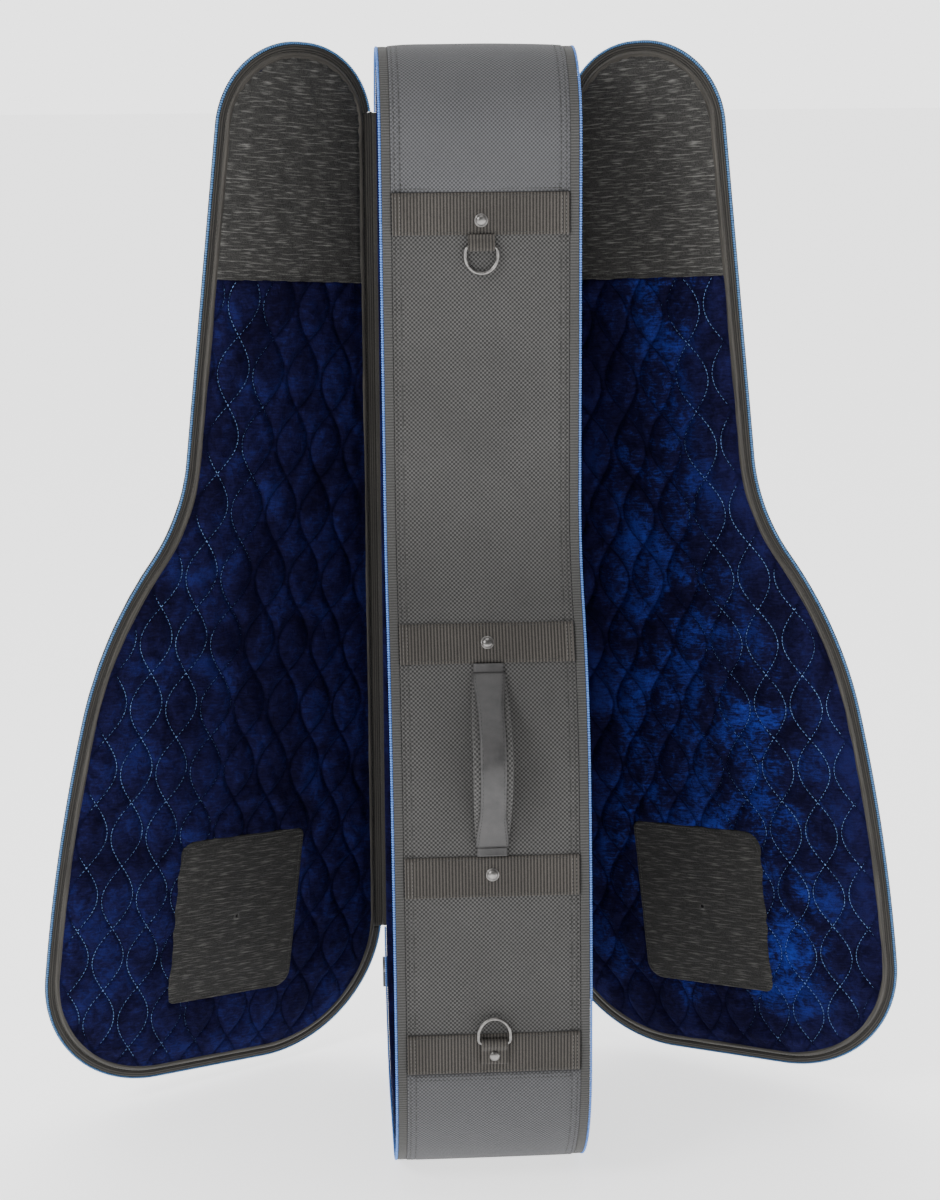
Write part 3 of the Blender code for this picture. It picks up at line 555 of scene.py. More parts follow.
def make_coil_material(name, dark, light):
    m = Nodes(name, light, 0.5)
    # painted shade between the teeth and painted highlight on them, in step with the coil's swelling
    tooth = m.wave(m.parts(m.layer("cloth"))[1], TOOTH / 1000)
    tint = m.plus(m.times(tooth, 0.3), m.grain(500, 2))
    m.link(m.mix(m.spread(tint, 0.2, 0.8), dark, light), "Base Color")
    m.put("Specular IOR Level", 0.3)


def make_thread(name, dark, light):
    m = Nodes(name, light, 0.6)
    m.link(m.mix(m.spread(m.grain(1300, 2), 0.3, 0.7), dark, light), "Base Color")
    m.put("Sheen Weight", 0.15)


def make_materials():
    woven("ballistic_nylon", (0.024, 0.0235, 0.023), (0.112, 0.110, 0.108), 0.0039, 0.0004)
    woven("cap_twill", (0.048, 0.048, 0.0505), (0.125, 0.126, 0.132), 0.0036, 0.0003)
    woven("lid_nylon", (0.022, 0.0215, 0.021), (0.092, 0.090, 0.088), 0.0039, 0.0004)
    ribbed("grosgrain", (0.019, 0.0175, 0.016), (0.092, 0.084, 0.076), 0.0030, 0)
    ribbed("zip_tape", (0.040, 0.0395, 0.038), (0.088, 0.087, 0.085), 0.0026, 1)
    # a dark web whose darkness is painted shade: on the gusset it stands for the binding's shadow, and on the lid
    # it is a darker copy of the zip tape
    ribbed("web_painted_shade", (0.014, 0.013, 0.012), (0.060, 0.056, 0.050), 0.0024, 1)
    make_binding()
    make_velvet()
    # one heather at two gains as painted light: the head patch's copy is painted lighter, the bridge patch's darker
    make_heather("heather", 0.85)
    make_heather("heather_lit_copy", 1.45)
    make_leather()
    make_gunmetal()
    make_coil_material("coil", (0.03, 0.09, 0.36), (0.14, 0.32, 0.80))
    # the lid's half of the same zip, a darker copy as painted shade
    make_coil_material("coil_shaded_copy", (0.015, 0.045, 0.12), (0.10, 0.25, 0.50))
    make_thread("thread", (0.09, 0.19, 0.48), (0.26, 0.46, 0.88))
    make_thread("thread_dark", (0.008, 0.008, 0.007), (0.030, 0.029, 0.027))
    make_thread("thread_grey", (0.060, 0.058, 0.054), (0.12, 0.115, 0.108))


make_materials()

# --- The rim's outer cloth


def cloth_section(half, thick, puff):
    """(x, outwards) round a flat strip of cloth, with rolled side edges, sunk seams and a slight crown."""
    margin = np.arange(half - 12, half, 0.8)
    x = np.unique(np.round(np.r_[np.linspace(12 - half, half - 12, 36), margin, -margin, half, -half], 3))
    share = np.abs(x) / half
    crown = puff * (1 - share**4)
    for offset in EDGE_SEAMS:
        crown -= 0.5 * np.exp(-(((np.abs(x) - half + offset) / 1.0) ** 2))
    front = np.c_[x, crown - thick * 0.35 * smoothstep(0.985, 1.0, share)]
    back = [(half, -thick * 0.8), (half - 1, -thick), (-half + 1, -thick), (-half, -thick * 0.8)]
    return np.vstack([front, back]).T


def rim_strip(name, start, end, inset, thick, puff, material, node, seed, uneven):
    """A strip of cloth round part of the rim, over the solid that it stands for."""
    runs = spaced(start, end, 4.0)
    x, out = cloth_section(SEAM_HALF, thick, puff)
    wave = ripple(x, runs[:, None], 70, seed) * uneven * (1 - (np.abs(x) / SEAM_HALF) ** 6)
    ends = (smoothstep(0, 9, runs - runs[0]) * smoothstep(0, 9, runs[-1] - runs))[:, None]
    lift = out - inset + wave * (out > -0.5) * ends - (1 - ends) * puff * 0.8 * (out > 0)
    rows, uv = rim_rows(runs, x, lift)
    return sweep(name, rows, material, "rim", uv=uv, nodes=[node])


def make_rim_cloth():
    tail_a, tail_b = run_at(TAIL_SEAM, "hinge"), run_at(TAIL_SEAM)
    head_a, head_b = run_at(HEAD_SEAM), run_at(HEAD_SEAM, "hinge")
    back_end = AROUND + tail_a
    rim_strip("tail_cap_cloth", tail_a, tail_b, 0.4, 2.2, 0.35, "cap_twill", "tail_cap", 3, 0.0)
    rim_strip("head_cap_cloth", head_a, head_b, 0.3, 2.4, 1.6, "cap_twill", "head_cap", 4, 0.4)
    rim_strip("handle_side_cloth", tail_b + 0.3, head_a - 0.3, 1.2, 1.8, 0.6, "ballistic_nylon",
              "handle_side_panel", 5, 0.5)
    rim_strip("hinge_side_cloth", head_b + 0.3, back_end - 0.3, 1.2, 1.8, 0.8, "ballistic_nylon",
              "hinge_side_panel", 6, 0.6)
    for side in (-1, 1):
        for offset, head_inset in zip(EDGE_SEAMS, (0.3, -0.2)):
            x, row = side * (SEAM_HALF - offset), f"{side + 1}_{int(offset)}"
            rim_stitches(f"side_stitches_{row}", tail_b + 3, head_a - 3, x, 1.2)
            rim_stitches(f"back_stitches_{row}", head_b + 3, back_end - 3, x, 1.1)
            rim_stitches(f"head_stitches_{row}", head_a + 2, head_b - 2, x, head_inset)
            rim_stitches(f"tail_stitches_{row}", tail_a + 2, tail_b - 2, x, 0.6)
    for offset in (3.0, 6.5):
        cross_stitches(f"tail_hem_{int(offset)}", tail_b - offset, 0.2, SEAM_HALF - 9)
        cross_stitches(f"head_hem_{int(offset)}", head_a + offset, -0.1, SEAM_HALF - 9)
        cross_stitches(f"tail_back_hem_{int(offset)}", tail_a + offset, 0.2, SEAM_HALF - 9)
        cross_stitches(f"head_back_hem_{int(offset)}", head_b - offset, -0.1, SEAM_HALF - 9)


def make_bands():
    """Ribbed webbing, with its ribs as real ridges, and its stitched ends folded under."""
    half, margin, rib_pitch = SEAM_HALF - 0.6, 1.4, 3.0
    for number, bottom in enumerate(BANDS, 1):
        start = run_at(bottom)
        across = np.r_[0.0, 0.35, np.linspace(margin, BAND_WIDTH - margin, 9), BAND_WIDTH - 0.35, BAND_WIDTH]
        runs = start + across
        x = np.linspace(-half, half, 510)
        rib = 0.25 * np.sin(x / rib_pitch * math.tau) * (np.abs(x) < half - 1.5)
        fold = 0.55 * smoothstep(half - 9, half - 7, np.abs(x)) - 0.8 * smoothstep(half - 0.8, half, np.abs(x))
        profile = np.minimum(1, across / margin) * np.minimum(1, (BAND_WIDTH - across) / margin)
        profile = np.sqrt(np.clip(profile, 0, 1))
        lift = 0.2 + (1.1 + rib + fold) * profile[:, None] + 0.12 * ripple(x[None], runs[:, None], 45, number)
        lift = np.concatenate([lift, np.full(lift.shape, -0.6)], 1)
        rows, uv = rim_rows(runs, np.r_[x, x[::-1]], lift)
        sweep(f"webbing_{number}", rows, "grosgrain", "rim", uv=uv, nodes=[f"webbing_band_{number}"])
        for side in (-1, 1):
            for offset in (3.0, 6.8):
                rim_stitches(f"band_{number}_end_{side + 1}_{int(offset)}", start + 3, start + BAND_WIDTH - 3,
                             side * (half - offset), -1.95, pitch=3.4, length=2.5, material="thread_grey")
        for row in (2.6, BAND_WIDTH - 2.6):
            cross_stitches(f"band_{number}_hem_{int(row)}", start + row, -1.35, half - 9, pitch=4.0)


# --- Turned and bent metal


def place_on_handle_side(height, out):
    """A matrix with X across the rim, Y up its cloth and Z outwards."""
    point, normal = (pair[0] for pair in along(np.array([run_at(height)])))
    point = point + normal * out
    axes = Matrix((Vector((1, 0, 0)), Vector((0, normal[1], normal[0])), Vector((0, -normal[0], normal[1]))))
    return Matrix.Translation(Vector((0, -point[0], point[1])) / 1000) @ axes.transposed().to_4x4()


def make_rivets():
    """Domed caps, each a turned profile of (radius, height)."""
    domes = np.radians(np.linspace(84, 2, 9))
    flange = [(0.02, -0.4), (6.0, -0.4), (6.2, 0.1), (6.0, 0.6), (5.4, 0.75), (5.1, 0.7)]
    radius, level = np.array(flange + [(4.9 * math.sin(a), 1.0 + 2.5 * math.cos(a)) for a in domes]).T
    angles = np.linspace(0, math.tau, 40, endpoint=False)
    rows = np.stack([np.outer(radius, np.cos(angles)), np.outer(radius, np.sin(angles)),
                     np.repeat(level[:, None], len(angles), 1)], -1)
    for number, height in enumerate(RIVETS, 1):
        lift = 1.3 if number < len(RIVETS) else 3.9  # the last one holds the lower ring's tab as well
        matrix = place_on_handle_side(height, lift)
        sweep(f"rivet_cap_{number}", turned(rows, matrix), "gunmetal", "rim", nodes=[f"rivet_{number}"])


def ring_line():
    """The D ring's centre line in its own plane: the bar along X and the bow on +Y, in millimetres."""
    half, bow, corner = (RING_WIDTH - RING_WIRE) / 2, RING_HEIGHT - RING_WIRE, 3.0
    angles = np.linspace(0, math.pi, 64)
    curve = np.c_[half * np.cos(angles), bow * (0.3 + 0.7 * np.sin(angles))]
    left = [(-half, bow * 0.2), (-half, corner), (-half + corner * 0.3, corner * 0.3), (-half + corner, 0)]
    bar = [(x, 0.0) for x in np.linspace(-half + corner + 2, half - corner - 2, 10)]
    right = [(-x, y) for x, y in left[::-1]]
    return np.array([*curve, *left, *bar, *right])


def make_rings():
    for end, height in RING_BARS.items():
        base = place_on_handle_side(height, RING_LIFTS[end])
        if end == "upper":  # it hangs down
            base = base @ Matrix.Rotation(math.pi, 4, "Z")
        line = ring_line()
        world = turned(np.c_[line, np.zeros(len(line))], base)
        rod(f"ring_{end}_wire", world, np.array(base)[:3, 2], RING_WIRE / 2 - 0.03, "gunmetal", f"ring_{end}",
            closed=True, nodes=[f"d_ring_{end}"], sides=12)
        make_ring_tab(end, base)


def make_ring_tab(end, base):
    """A strip of webbing folded round the ring's bar."""
    angles = np.linspace(math.pi * 0.5, -math.pi * 0.5, 15)
    loop = [(3.0 * math.cos(a), 3.0 * math.sin(a)) for a in angles]
    if end == "upper":
        reach = 11.6
        front = [(-reach, 0.6), (-7, 1.2), (-4, 2.6)]
        back = [(-4, -2.2), (-reach, -2.2)]
    else:
        reach = 21.0
        front = [(-reach, -1.6), (-reach + 2, -1.1), (-8, -1.0), (-5, 1.2), (-2.5, 2.9)]
        back = [(-3, -3.0), (-reach, -3.0)]
    line = np.array([*front, *loop, *back])
    even = np.linspace(0, lengths(line)[-1], 60)
    line = resampled(line, even)
    tangent = np.gradient(line, axis=0)
    tangent /= np.linalg.norm(tangent, axis=1, keepdims=True)
    normal = np.c_[-tangent[:, 1], tangent[:, 0]]
    half, thick = 12.2, 0.55
    x = np.linspace(-half, half, 22)
    both = np.r_[x, x[::-1]]
    edge = np.repeat((1, -1), len(x)) * thick * (1 - 0.6 * smoothstep(half - 0.9, half, np.abs(both)))
    spot = line[:, None] + normal[:, None] * edge[None, :, None]
    rows = np.stack([np.broadcast_to(both, spot.shape[:2]), spot[..., 0], spot[..., 1]], -1)
    uv = np.stack(np.broadcast_arrays(both, even[:, None]), -1) / 1000
    sweep(f"ring_tab_{end}_webbing", turned(rows, base), "grosgrain", "rim", uv=uv, nodes=[f"ring_tab_{end}"])


# --- The handle


def handle_curve(share, lift=0.0):
    """The handle's underside as (point, normal) arrays in the outline's plane."""
    ends = np.array([run_at(BANDS[2]) + BAND_WIDTH + 0.3, run_at(BANDS[1]) - 0.3])
    low, high = along(ends)[0]
    chord = high - low
    size = np.linalg.norm(chord)
    out = np.array((chord[1], -chord[0])) / size
    rise = 0.4 + HANDLE_RISE * (1 - np.cos(math.tau * share)) / 2
    slope = HANDLE_RISE * math.pi * np.sin(math.tau * share) / size
    normal = out - (chord / size) * slope[:, None]
    normal /= np.linalg.norm(normal, axis=1, keepdims=True)
    return low + chord * share[:, None] + out * rise[:, None] + normal * np.reshape(lift, (-1, 1)), normal


def handle_sizes(share):
    """The woven base's thickness and width, and its smooth face's width."""
    middle = np.maximum(0, np.sin(math.pi * (share - HANDLE_TAB) / (1 - 2 * HANDLE_TAB)))
    swell = middle**0.5
    return 1.4 + 5.4 * swell, 27 + 9 * swell, 30.0 - 6.5 * smoothstep(0.05, 0.75, middle)


def handle_layer(name, share, low, high, width, edge, material, node, seed):
    """A flat layer of the handle with rounded sides, between two lifts over its underside."""
    point, normal = handle_curve(share)
    steps = np.linspace(-1, 1, 19)
    low, high, width = (np.broadcast_to(size, len(share)) for size in (low, high, width))
    rows, uv = [], []
    for k, s in enumerate(share):
        x = steps * width[k] / 2
        top = high[k] - edge * (np.abs(steps) ** 10) + 0.25 * ripple(x, np.full(len(x), s * 175), 38, seed)
        ring = np.vstack([np.c_[x, top], np.c_[x[::-1], low[k] + edge * 0.6 * np.abs(steps) ** 8]])
        place = point[k] + normal[k] * ring[:, 1:]
        rows.append(rim_place(ring[:, 0], *place.T))
        uv.append(np.c_[ring[:, 0], np.full(len(ring), s * 176)] / 1000)
    return sweep(name, rows, material, "rim", uv=uv, nodes=[node])


def make_handle():
    share = np.linspace(HANDLE_TAB, 1 - HANDLE_TAB, 60)
    pad, base, face = handle_sizes(share)
    crease = 0.5 * np.exp(-((share - 0.36) / 0.012) ** 2) + 0.35 * np.exp(-((share - 0.53) / 0.010) ** 2)
    handle_layer("handle_base_nylon", share, 0.0, pad, base, 1.0, "ballistic_nylon", "handle_pad", 11)
    handle_layer("handle_leather", share, pad + 0.2, pad + 3.0 - crease, face, 1.3, "leather", "handle_grip", 12)
    runs = np.linspace(0.07, 0.93, 46)
    pad, _, face = handle_sizes(runs)
    point, normal = handle_curve(runs, pad + 2.85)
    forward = rim_vector(np.gradient(point, axis=0))
    for side in (-1, 1):
        stitches(f"handle_stitches_{side + 1}", rim_place(side * (face / 2 - 2.2), *point.T), forward,
                 rim_vector(normal), "rim", length=2.6)
    for name, a, b in (("lower", 0.0, 0.05), ("upper", 0.95, 1.0)):
        handle_layer(f"handle_loop_{name}", np.linspace(a, b, 8), 0.1, 3.6, 27.5, 1.0, "leather",
                     f"handle_tab_{name}", 13)


# --- Zips


def make_coil(name, place, body, material, node):
    """A coil of teeth: a bead whose size swells at every tooth."""
    runs = spaced(ZIP_START, ZIP_END, 0.7)
    point, normal = along(runs, 1.9)
    line = place(*point.T)
    across, up = frames_of(line, place(*(point + normal).T) - line)
    radius = (1.10 + 0.38 * np.sin(runs / TOOTH * math.tau)) / 1000
    uv = np.stack(np.broadcast_arrays(np.zeros(6), runs[:, None] / 1000), -1)
    sweep(name, tube_rows(line, across, up, radius, 6), material, body, uv=uv, nodes=[node])


def make_rim_zips():
    for name, side in SIDES.items():
        make_coil(f"rim_teeth_{name}", partial(rim_place, side * (RIM_DEPTH / 2 - 1.8)), "rim", "coil",
                  f"rim_zip_coil_{name}")
        x = np.linspace(SEAM_HALF + 0.2, RIM_DEPTH / 2 - 3.0, 8)
        lift = -1.2 + 0.18 * np.sin(np.linspace(0, math.pi, 8))
        rows, uv = rim_rows(spaced(ZIP_START, ZIP_END, 3.0), np.r_[x, x[::-1]], np.r_[lift, lift - 0.8], side)
        sweep(f"rim_tape_{name}", rows, "zip_tape", "rim", flip=side < 0, uv=uv, nodes=[f"rim_zip_tape_{name}"])


def metal_box(name, size, matrix, material, body, rounding, nodes=()):
    """A rounded bar, from bevelled edges."""
    half = np.array(size) / 2
    corners = [(a, b, c) * half for a in (-1, 1) for b in (-1, 1) for c in (-1, 1)]
    faces = [(0, 1, 3, 2), (4, 6, 7, 5), (0, 4, 5, 1), (2, 3, 7, 6), (0, 2, 6, 4), (1, 5, 7, 3)]
    obj = add(name, turned(corners, matrix), faces, material, body, nodes=nodes)
    bevel = obj.modifiers.new("rounded", "BEVEL")
    bevel.width, bevel.segments = rounding / 1000, 4


def make_sliders():
    radius = TAIL_RADIUS + 0.6
    for name, side in SIDES.items():
        angle = math.pi - TILT + math.radians(SLIDER_TURN)
        normal = Vector((0, -math.cos(angle), math.sin(angle)))
        middle = Vector((side * SLIDER_X, HINGE_HALF - TAIL_RADIUS, TAIL_RADIUS))
        axes = Matrix((Vector((1, 0, 0)), normal.cross(Vector((1, 0, 0))), normal)).transposed().to_4x4()
        base = Matrix.Translation((middle + normal * radius) / 1000) @ axes
        slider, pull = f"slider_{name}", f"pull_{name}"
        metal_box(f"slider_plate_{name}", (8.2, 16.6, 2.4), base @ Matrix.Translation((0, 0, 0.0013)), "gunmetal",
                  slider, 1.1, [f"zip_slider_{name}"])
        angles = np.linspace(0, math.pi, 21)
        arch = turned(np.c_[np.zeros(21), -5.0 * np.cos(angles), 2.0 + 4.6 * np.sin(angles)], base)
        rod(f"slider_bridge_{name}", arch, (1, 0, 0), 0.85, "gunmetal", slider)
        pivot = turned((0, 0, 4.7), base)
        angles = np.linspace(0, math.tau, 40, endpoint=False)
        x, z = np.cos(angles), np.sin(angles)
        eye = np.c_[3.2 * np.sign(x) * np.abs(x) ** 0.5, np.zeros(40),
                    3.6 * np.sign(z) * np.abs(z) ** 0.6 - 3.6]
        rod(f"pull_eye_{name}", pivot + eye / 1000, (0, 1, 0), 0.75, "gunmetal", pull, closed=True,
            nodes=[f"zip_pull_{name}"])
        tab = Matrix.Translation(Vector(pivot) + Vector((0, 0, -0.0168)))
        metal_box(f"pull_tab_{name}", (7.8, 2.2, 20.0), tab, "leather", pull, 0.9)
        metal_box(f"pull_cap_{name}", (8.2, 2.6, 3.0), tab @ Matrix.Translation((0, 0, 0.0092)), "gunmetal",
                  pull, 0.7)


# --- Quilting


def depth_inside(u, v):
    """How far points of the outline's plane lie inside the outline."""
    u, v = np.broadcast_arrays(u, v)
    flat = np.stack([u.ravel(), v.ravel()], -1)
    hinge = along(spaced(HINGE_RUN, AROUND, 4))
    edge, normal = np.vstack([POINTS[:-1], hinge[0]]), np.vstack([NORMALS[:-1], hinge[1]])
    found = np.empty(len(flat))
    for start in range(0, len(flat), 4000):
        block = flat[start:start + 4000]
        gap = block[:, None] - edge[None]
        near = (gap**2).sum(-1).argmin(1)
        found[start:start + 4000] = -(gap[np.arange(len(block)), near] * normal[near]).sum(-1)
    return found.reshape(u.shape)


def quilt_turn(name):
    turn = math.radians(QUILT[name][2])
    return math.cos(turn), math.sin(turn)


def quilt_wave(b):
    """A row of stitches' offset and slope at a distance along it."""
    return OVAL_HALF * np.sin(b * math.pi / OVAL), OVAL_HALF * math.pi / OVAL * np.cos(b * math.pi / OVAL)


def quilt_gap(u, v, name):
    """How far points are from the nearest row of stitches."""
    u0, v0, _ = QUILT[name]
    c, s = quilt_turn(name)
    a, b = (u - u0) * c + (v - v0) * s, -(u - u0) * s + (v - v0) * c
    wave, slope = quilt_wave(b)
    gaps = [np.abs((a - sign * wave + CHAIN / 2) % CHAIN - CHAIN / 2) for sign in (-1, 1)]
    return np.minimum(*gaps) / np.sqrt(1 + slope**2)


def puffed(u, v, name, seed):
    """The quilting's height over its stitches, in millimetres."""
    gap = np.maximum(quilt_gap(u, v, name) - 0.7, 0)
    height = 3.6 * (1 - np.exp(-gap / 3.2)) + 0.05 * gap
    wrinkles = ripple(u, v, 17, seed) * 0.55 + ripple(u, v, 7, seed + 1) * 0.28
    return height + wrinkles * (1 - np.exp(-gap / 2.0))


def quilt_map(u, v, name, crush_and_painted_sheen):
    """How deep each point lies in a crease, which sets the painted shade there, and the share of painted sheen."""
    return np.stack([np.exp(-((quilt_gap(u, v, name) / 2.0) ** 2)), np.broadcast_to(crush_and_painted_sheen, u.shape)], -1)


def in_patch(u, v, grow=0.0):
    return (np.abs(u - PATCH[0]) < PATCH[2] + grow) & (np.abs(v - PATCH[1]) < PATCH[3] + grow)


def quilt_threads(name, body, place, inner, top, seed, patch=True):
    """The stitches along every wave, which lie higher in the pile towards the handle's side."""
    b = np.arange(-760, 760, 3.7)
    wave, slope = quilt_wave(b)
    u0, v0, _ = QUILT[name]
    c, s = quilt_turn(name)
    points, steps = [], []
    for chain in range(-9, 9):
        for sign in (-1, 1):
            a = CHAIN * chain + sign * wave
            u, v = u0 + a * c - b * s, v0 + a * s + b * c
            good = (depth_inside(u, v) > inner) & (v < top)
            if patch:
                good &= ~in_patch(u, v, -1)
            points.append(np.c_[u, v][good])
            steps.append(np.c_[sign * slope * c - s, sign * slope * s + c][good])
    points, steps = np.concatenate(points), np.concatenate(steps)
    u, v = points.T
    lift = 2.5 - 1.1 * smoothstep(-0.5, 0.6, u / (90 + 109 * smoothstep(700, 250, v)))
    return sheet_stitches(f"{body}_quilt_threads_{seed}", place, points, points + steps, lift, -1, body,
                          material="thread", length=3.5, width=0.7, rise=0.6)


# --- The lids


def make_lid(name, side):
    body, place = f"lid_{name}", partial(lid_place, side)
    u, v = plane_grid(2.2)
    inside = depth_inside(u, v)
    border = smoothstep(15.5, 30, inside)
    top = 3.4 - puffed(u, v, name, 20 + side) * border - 1.0 * (1 - border)
    covered = (v > PATCH_HEM - 1) | in_patch(u, v, 1)
    top = np.where(covered, np.maximum(top, np.where(v > 500, 3.3, 1.8)), top)
    # painted sheen: faint on the left lid, and strong inside the right lid's edge, the lid that faces the key light
    lid_painted_sheen = 0.10 if name == "left" else smoothstep(25, 110, inside) * (0.75 + 0.25 * ripple(u, v, 160, 9))
    lining = masked_grid(f"quilted_lining_{name}", u, v, place(top, u, v), inside > 12.4, "velvet", body,
                         quilt=quilt_map(u, v, name, lid_painted_sheen), flip=side > 0,
                         nodes=[f"lid_lining_{name}", f"lid_foam_{name}"])
    thicken(lining)
    quilt_threads(name, body, place, 17.5, PATCH_HEM - 2, side + 1)
    for make in (make_head_patch, make_bridge_patch, make_lid_edge, make_gusset, make_lid_shell, make_lid_back):
        make(name, side, body, place)


def make_head_patch(name, side, body, place):
    """The gathered patch over the headstock's place."""
    step = 2.0
    rise = np.r_[-0.6, 0, np.arange(1, 235, step)]
    u, v = np.meshgrid(np.arange(-120, 120, step), PATCH_HEM + rise, indexing="ij")
    inside = depth_inside(u, v)
    angle = np.arctan2(v - 985, u)
    gather = np.sin(angle * 34 + 2.0 * ripple(u, v, 60, 5)) * np.exp(-(inside - 12) / 13) * 1.1
    gather = gather * smoothstep(950, 1000, v) + 0.5 * ripple(u, v, 34, 6 + side) + 0.25 * ripple(u, v, 12, 8)
    hem = 0.55 * np.exp(-((v - PATCH_HEM - 1.4) / 1.5) ** 2) + 0.4 * np.exp(-((v - PATCH_HEM - 8) / 2.0) ** 2)
    w = -0.3 - 1.0 * smoothstep(0, 14, v - PATCH_HEM) * smoothstep(15, 40, inside) - hem - gather * 0.8
    w = w + 1.6 * smoothstep(20, 13, inside)
    w[:, 0] = 3.0
    masked_grid(f"head_patch_cloth_{name}", u, v, place(w, u, v), inside > 12.6, "heather_lit_copy", body,
                flip=side > 0, nodes=[f"head_patch_{name}"])
    for row in (3.2, 6.2):
        x = np.arange(-112, 112, 3.6)
        points = np.c_[x, np.full(len(x), PATCH_HEM + row)]
        points = points[depth_inside(*points.T) > 19]
        sheet_stitches(f"head_patch_hem_{name}_{int(row)}", place, points, points + (1, 0), -1.3, -1, body,
                       length=2.6)


def patch_loop(scale, count=30):
    """A rectangle about the bridge patch's centre, with its own radius at each corner."""
    width, height = PATCH[2] * scale, PATCH[3] * scale
    found = []
    for k, (a, b, corner) in enumerate(((1, 1, 18), (-1, 1, 8), (-1, -1, 18), (1, -1, 8))):
        radius = max(corner * scale, 0.2)
        angles = np.linspace(k * math.pi / 2, (k + 1) * math.pi / 2, count)
        found.append(np.c_[PATCH[0] + a * (width - radius) + radius * np.cos(angles),
                           PATCH[1] + b * (height - radius) + radius * np.sin(angles)])
    return np.concatenate(found)


def make_bridge_patch(name, side, body, place):
    """The hemmed patch over the bridge's place, as rings about its centre."""
    hem = 0.955
    scales = np.r_[np.linspace(0.02, 0.86, 22), 0.90, 0.93, hem, 0.975, 0.99, 1.0, 1.0]
    loops = np.stack([patch_loop(s) for s in scales])
    u, v = loops[..., 0], loops[..., 1]
    w = -1.0 - 0.9 * (1 - scales[:, None] ** 3) - 0.35 * ripple(u, v, 40, 31 + side) - 0.12 * ripple(u, v, 9, 32)
    w = w + 0.45 * np.exp(-((scales[:, None] - hem) / 0.012) ** 2)
    w[-2], w[-1] = -0.4, 3.4
    count = loops.shape[1]
    faces = grid_faces(len(scales), count, loop_columns=True, flip=side < 0).tolist()
    faces.append(list(range(count))[::-side])
    add(f"bridge_patch_cloth_{name}", place(w, u, v), faces, "heather", body, uv=loops / 1000,
        nodes=[f"bridge_patch_{name}"])
    loop = patch_loop(hem, 400)
    line = resampled(loop, np.arange(0, lengths(loop)[-1], 3.6))
    sheet_stitches(f"bridge_patch_hem_{name}", place, line, line + np.gradient(line, axis=0), -0.95, -1, body,
                   length=2.6)


def lid_band(name, side, place, runs, insets, heights, material, body, node, closed=False):
    """A skin round the lid through (inset, w) pairs."""
    rows, uv = lid_rows(place, runs, insets, heights)
    return sweep(name, rows, material, body, closed=closed, uv=uv, flip=side > 0, nodes=[node])


def make_lid_edge(name, side, body, place):
    """The binding, the zip's tape with its coil, and the corded strip along the hinge."""
    around = np.linspace(0, AROUND, 900, endpoint=False)
    angles = np.linspace(0, math.tau, 18, endpoint=False)
    uneven = 1 + 0.05 * ripple(around[:, None], np.zeros((1, 1)), 55, 40 + side)
    insets = 13.4 + 4.0 * np.cos(angles) * uneven
    heights = 3.6 - 3.6 * np.sin(angles) * uneven - 0.5 * np.exp(-((np.cos(angles) + 0.1) / 0.35) ** 2)
    lid_band(f"binding_tape_{name}", side, place, around, insets, heights, "binding", body,
             f"lid_binding_{name}", closed=True)
    runs = np.arange(0, AROUND, 4.0)
    for number, inset in enumerate((10.6, 16.2)):
        sheet_stitches(f"binding_stitches_{name}_{number}", place, along(runs, inset)[0],
                       along(runs + 1, inset)[0], 1.1, -1, body, length=2.8)
    insets = [3.6, 5, 7, 9.6, 9.6, 3.75, 3.75, 0.7, 0.7, 3.5]
    heights = [1.3, 1.15, 1.15, 1.3, 2.3, 2.3, 3.8, 3.8, 3.4, 3.4]
    # the lid's half of the zip tape, in the dark web as painted shade
    lid_band(f"lid_tape_{name}", side, place, spaced(ZIP_START, ZIP_END, 3.0), insets, heights, "web_painted_shade",
             body, f"lid_zip_tape_{name}")
    # the lid's coil takes the darker copy of the coil, painted shade
    make_coil(f"lid_teeth_{name}", partial(place, 1.8), body, "coil_shaded_copy", f"lid_zip_coil_{name}")
    angles = np.linspace(0.7, 5.58, 9)
    insets = [*(0.7 + 1.4 * np.cos(angles)), 9.5, 9.5]
    heights = [*(1.7 + 1.4 * np.sin(angles)), 1.2, 2.3]
    lid_band(f"hinge_strip_{name}", side, place, spaced(ZIP_END + 0.6, AROUND + ZIP_START - 0.6, 4.0),
             insets, heights, "web_painted_shade", body, f"hinge_cloth_{name}")


def make_gusset(name, side, body, place):
    """The cloth that crosses the hinge, from the rim to the lid's corded edge."""
    runs = spaced(ZIP_END + 1.0, AROUND + ZIP_START - 1.0, 6.0)

    def rim_row(x, inset):
        return rim_place(side * x, *along(runs, inset)[0].T)

    def lid_row(w, inset):
        return place(w, *along(runs, inset)[0].T)

    face = [rim_row(82.5, 0.9), rim_row(86.0, 0.5), rim_row(89.5, 0.3), rim_row(91.6, 0.1), lid_row(0.15, 0.4)]
    back = [row - rim_vector(along(runs)[1]) * 0.0006 for row in face[:3]]
    rows = np.stack([*face, lid_row(0.1, 0.9), rim_row(91.4, 0.6), *back[::-1]], 1)
    # the gusset's dark web is painted shade, the binding's shadow along the hinge
    gusset = sweep(f"hinge_gusset_{name}", rows, "web_painted_shade", None, flip=side > 0)
    middle = len(runs) // 2
    tuple(face[2][middle])
    tuple(face[4][middle])
    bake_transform(gusset)


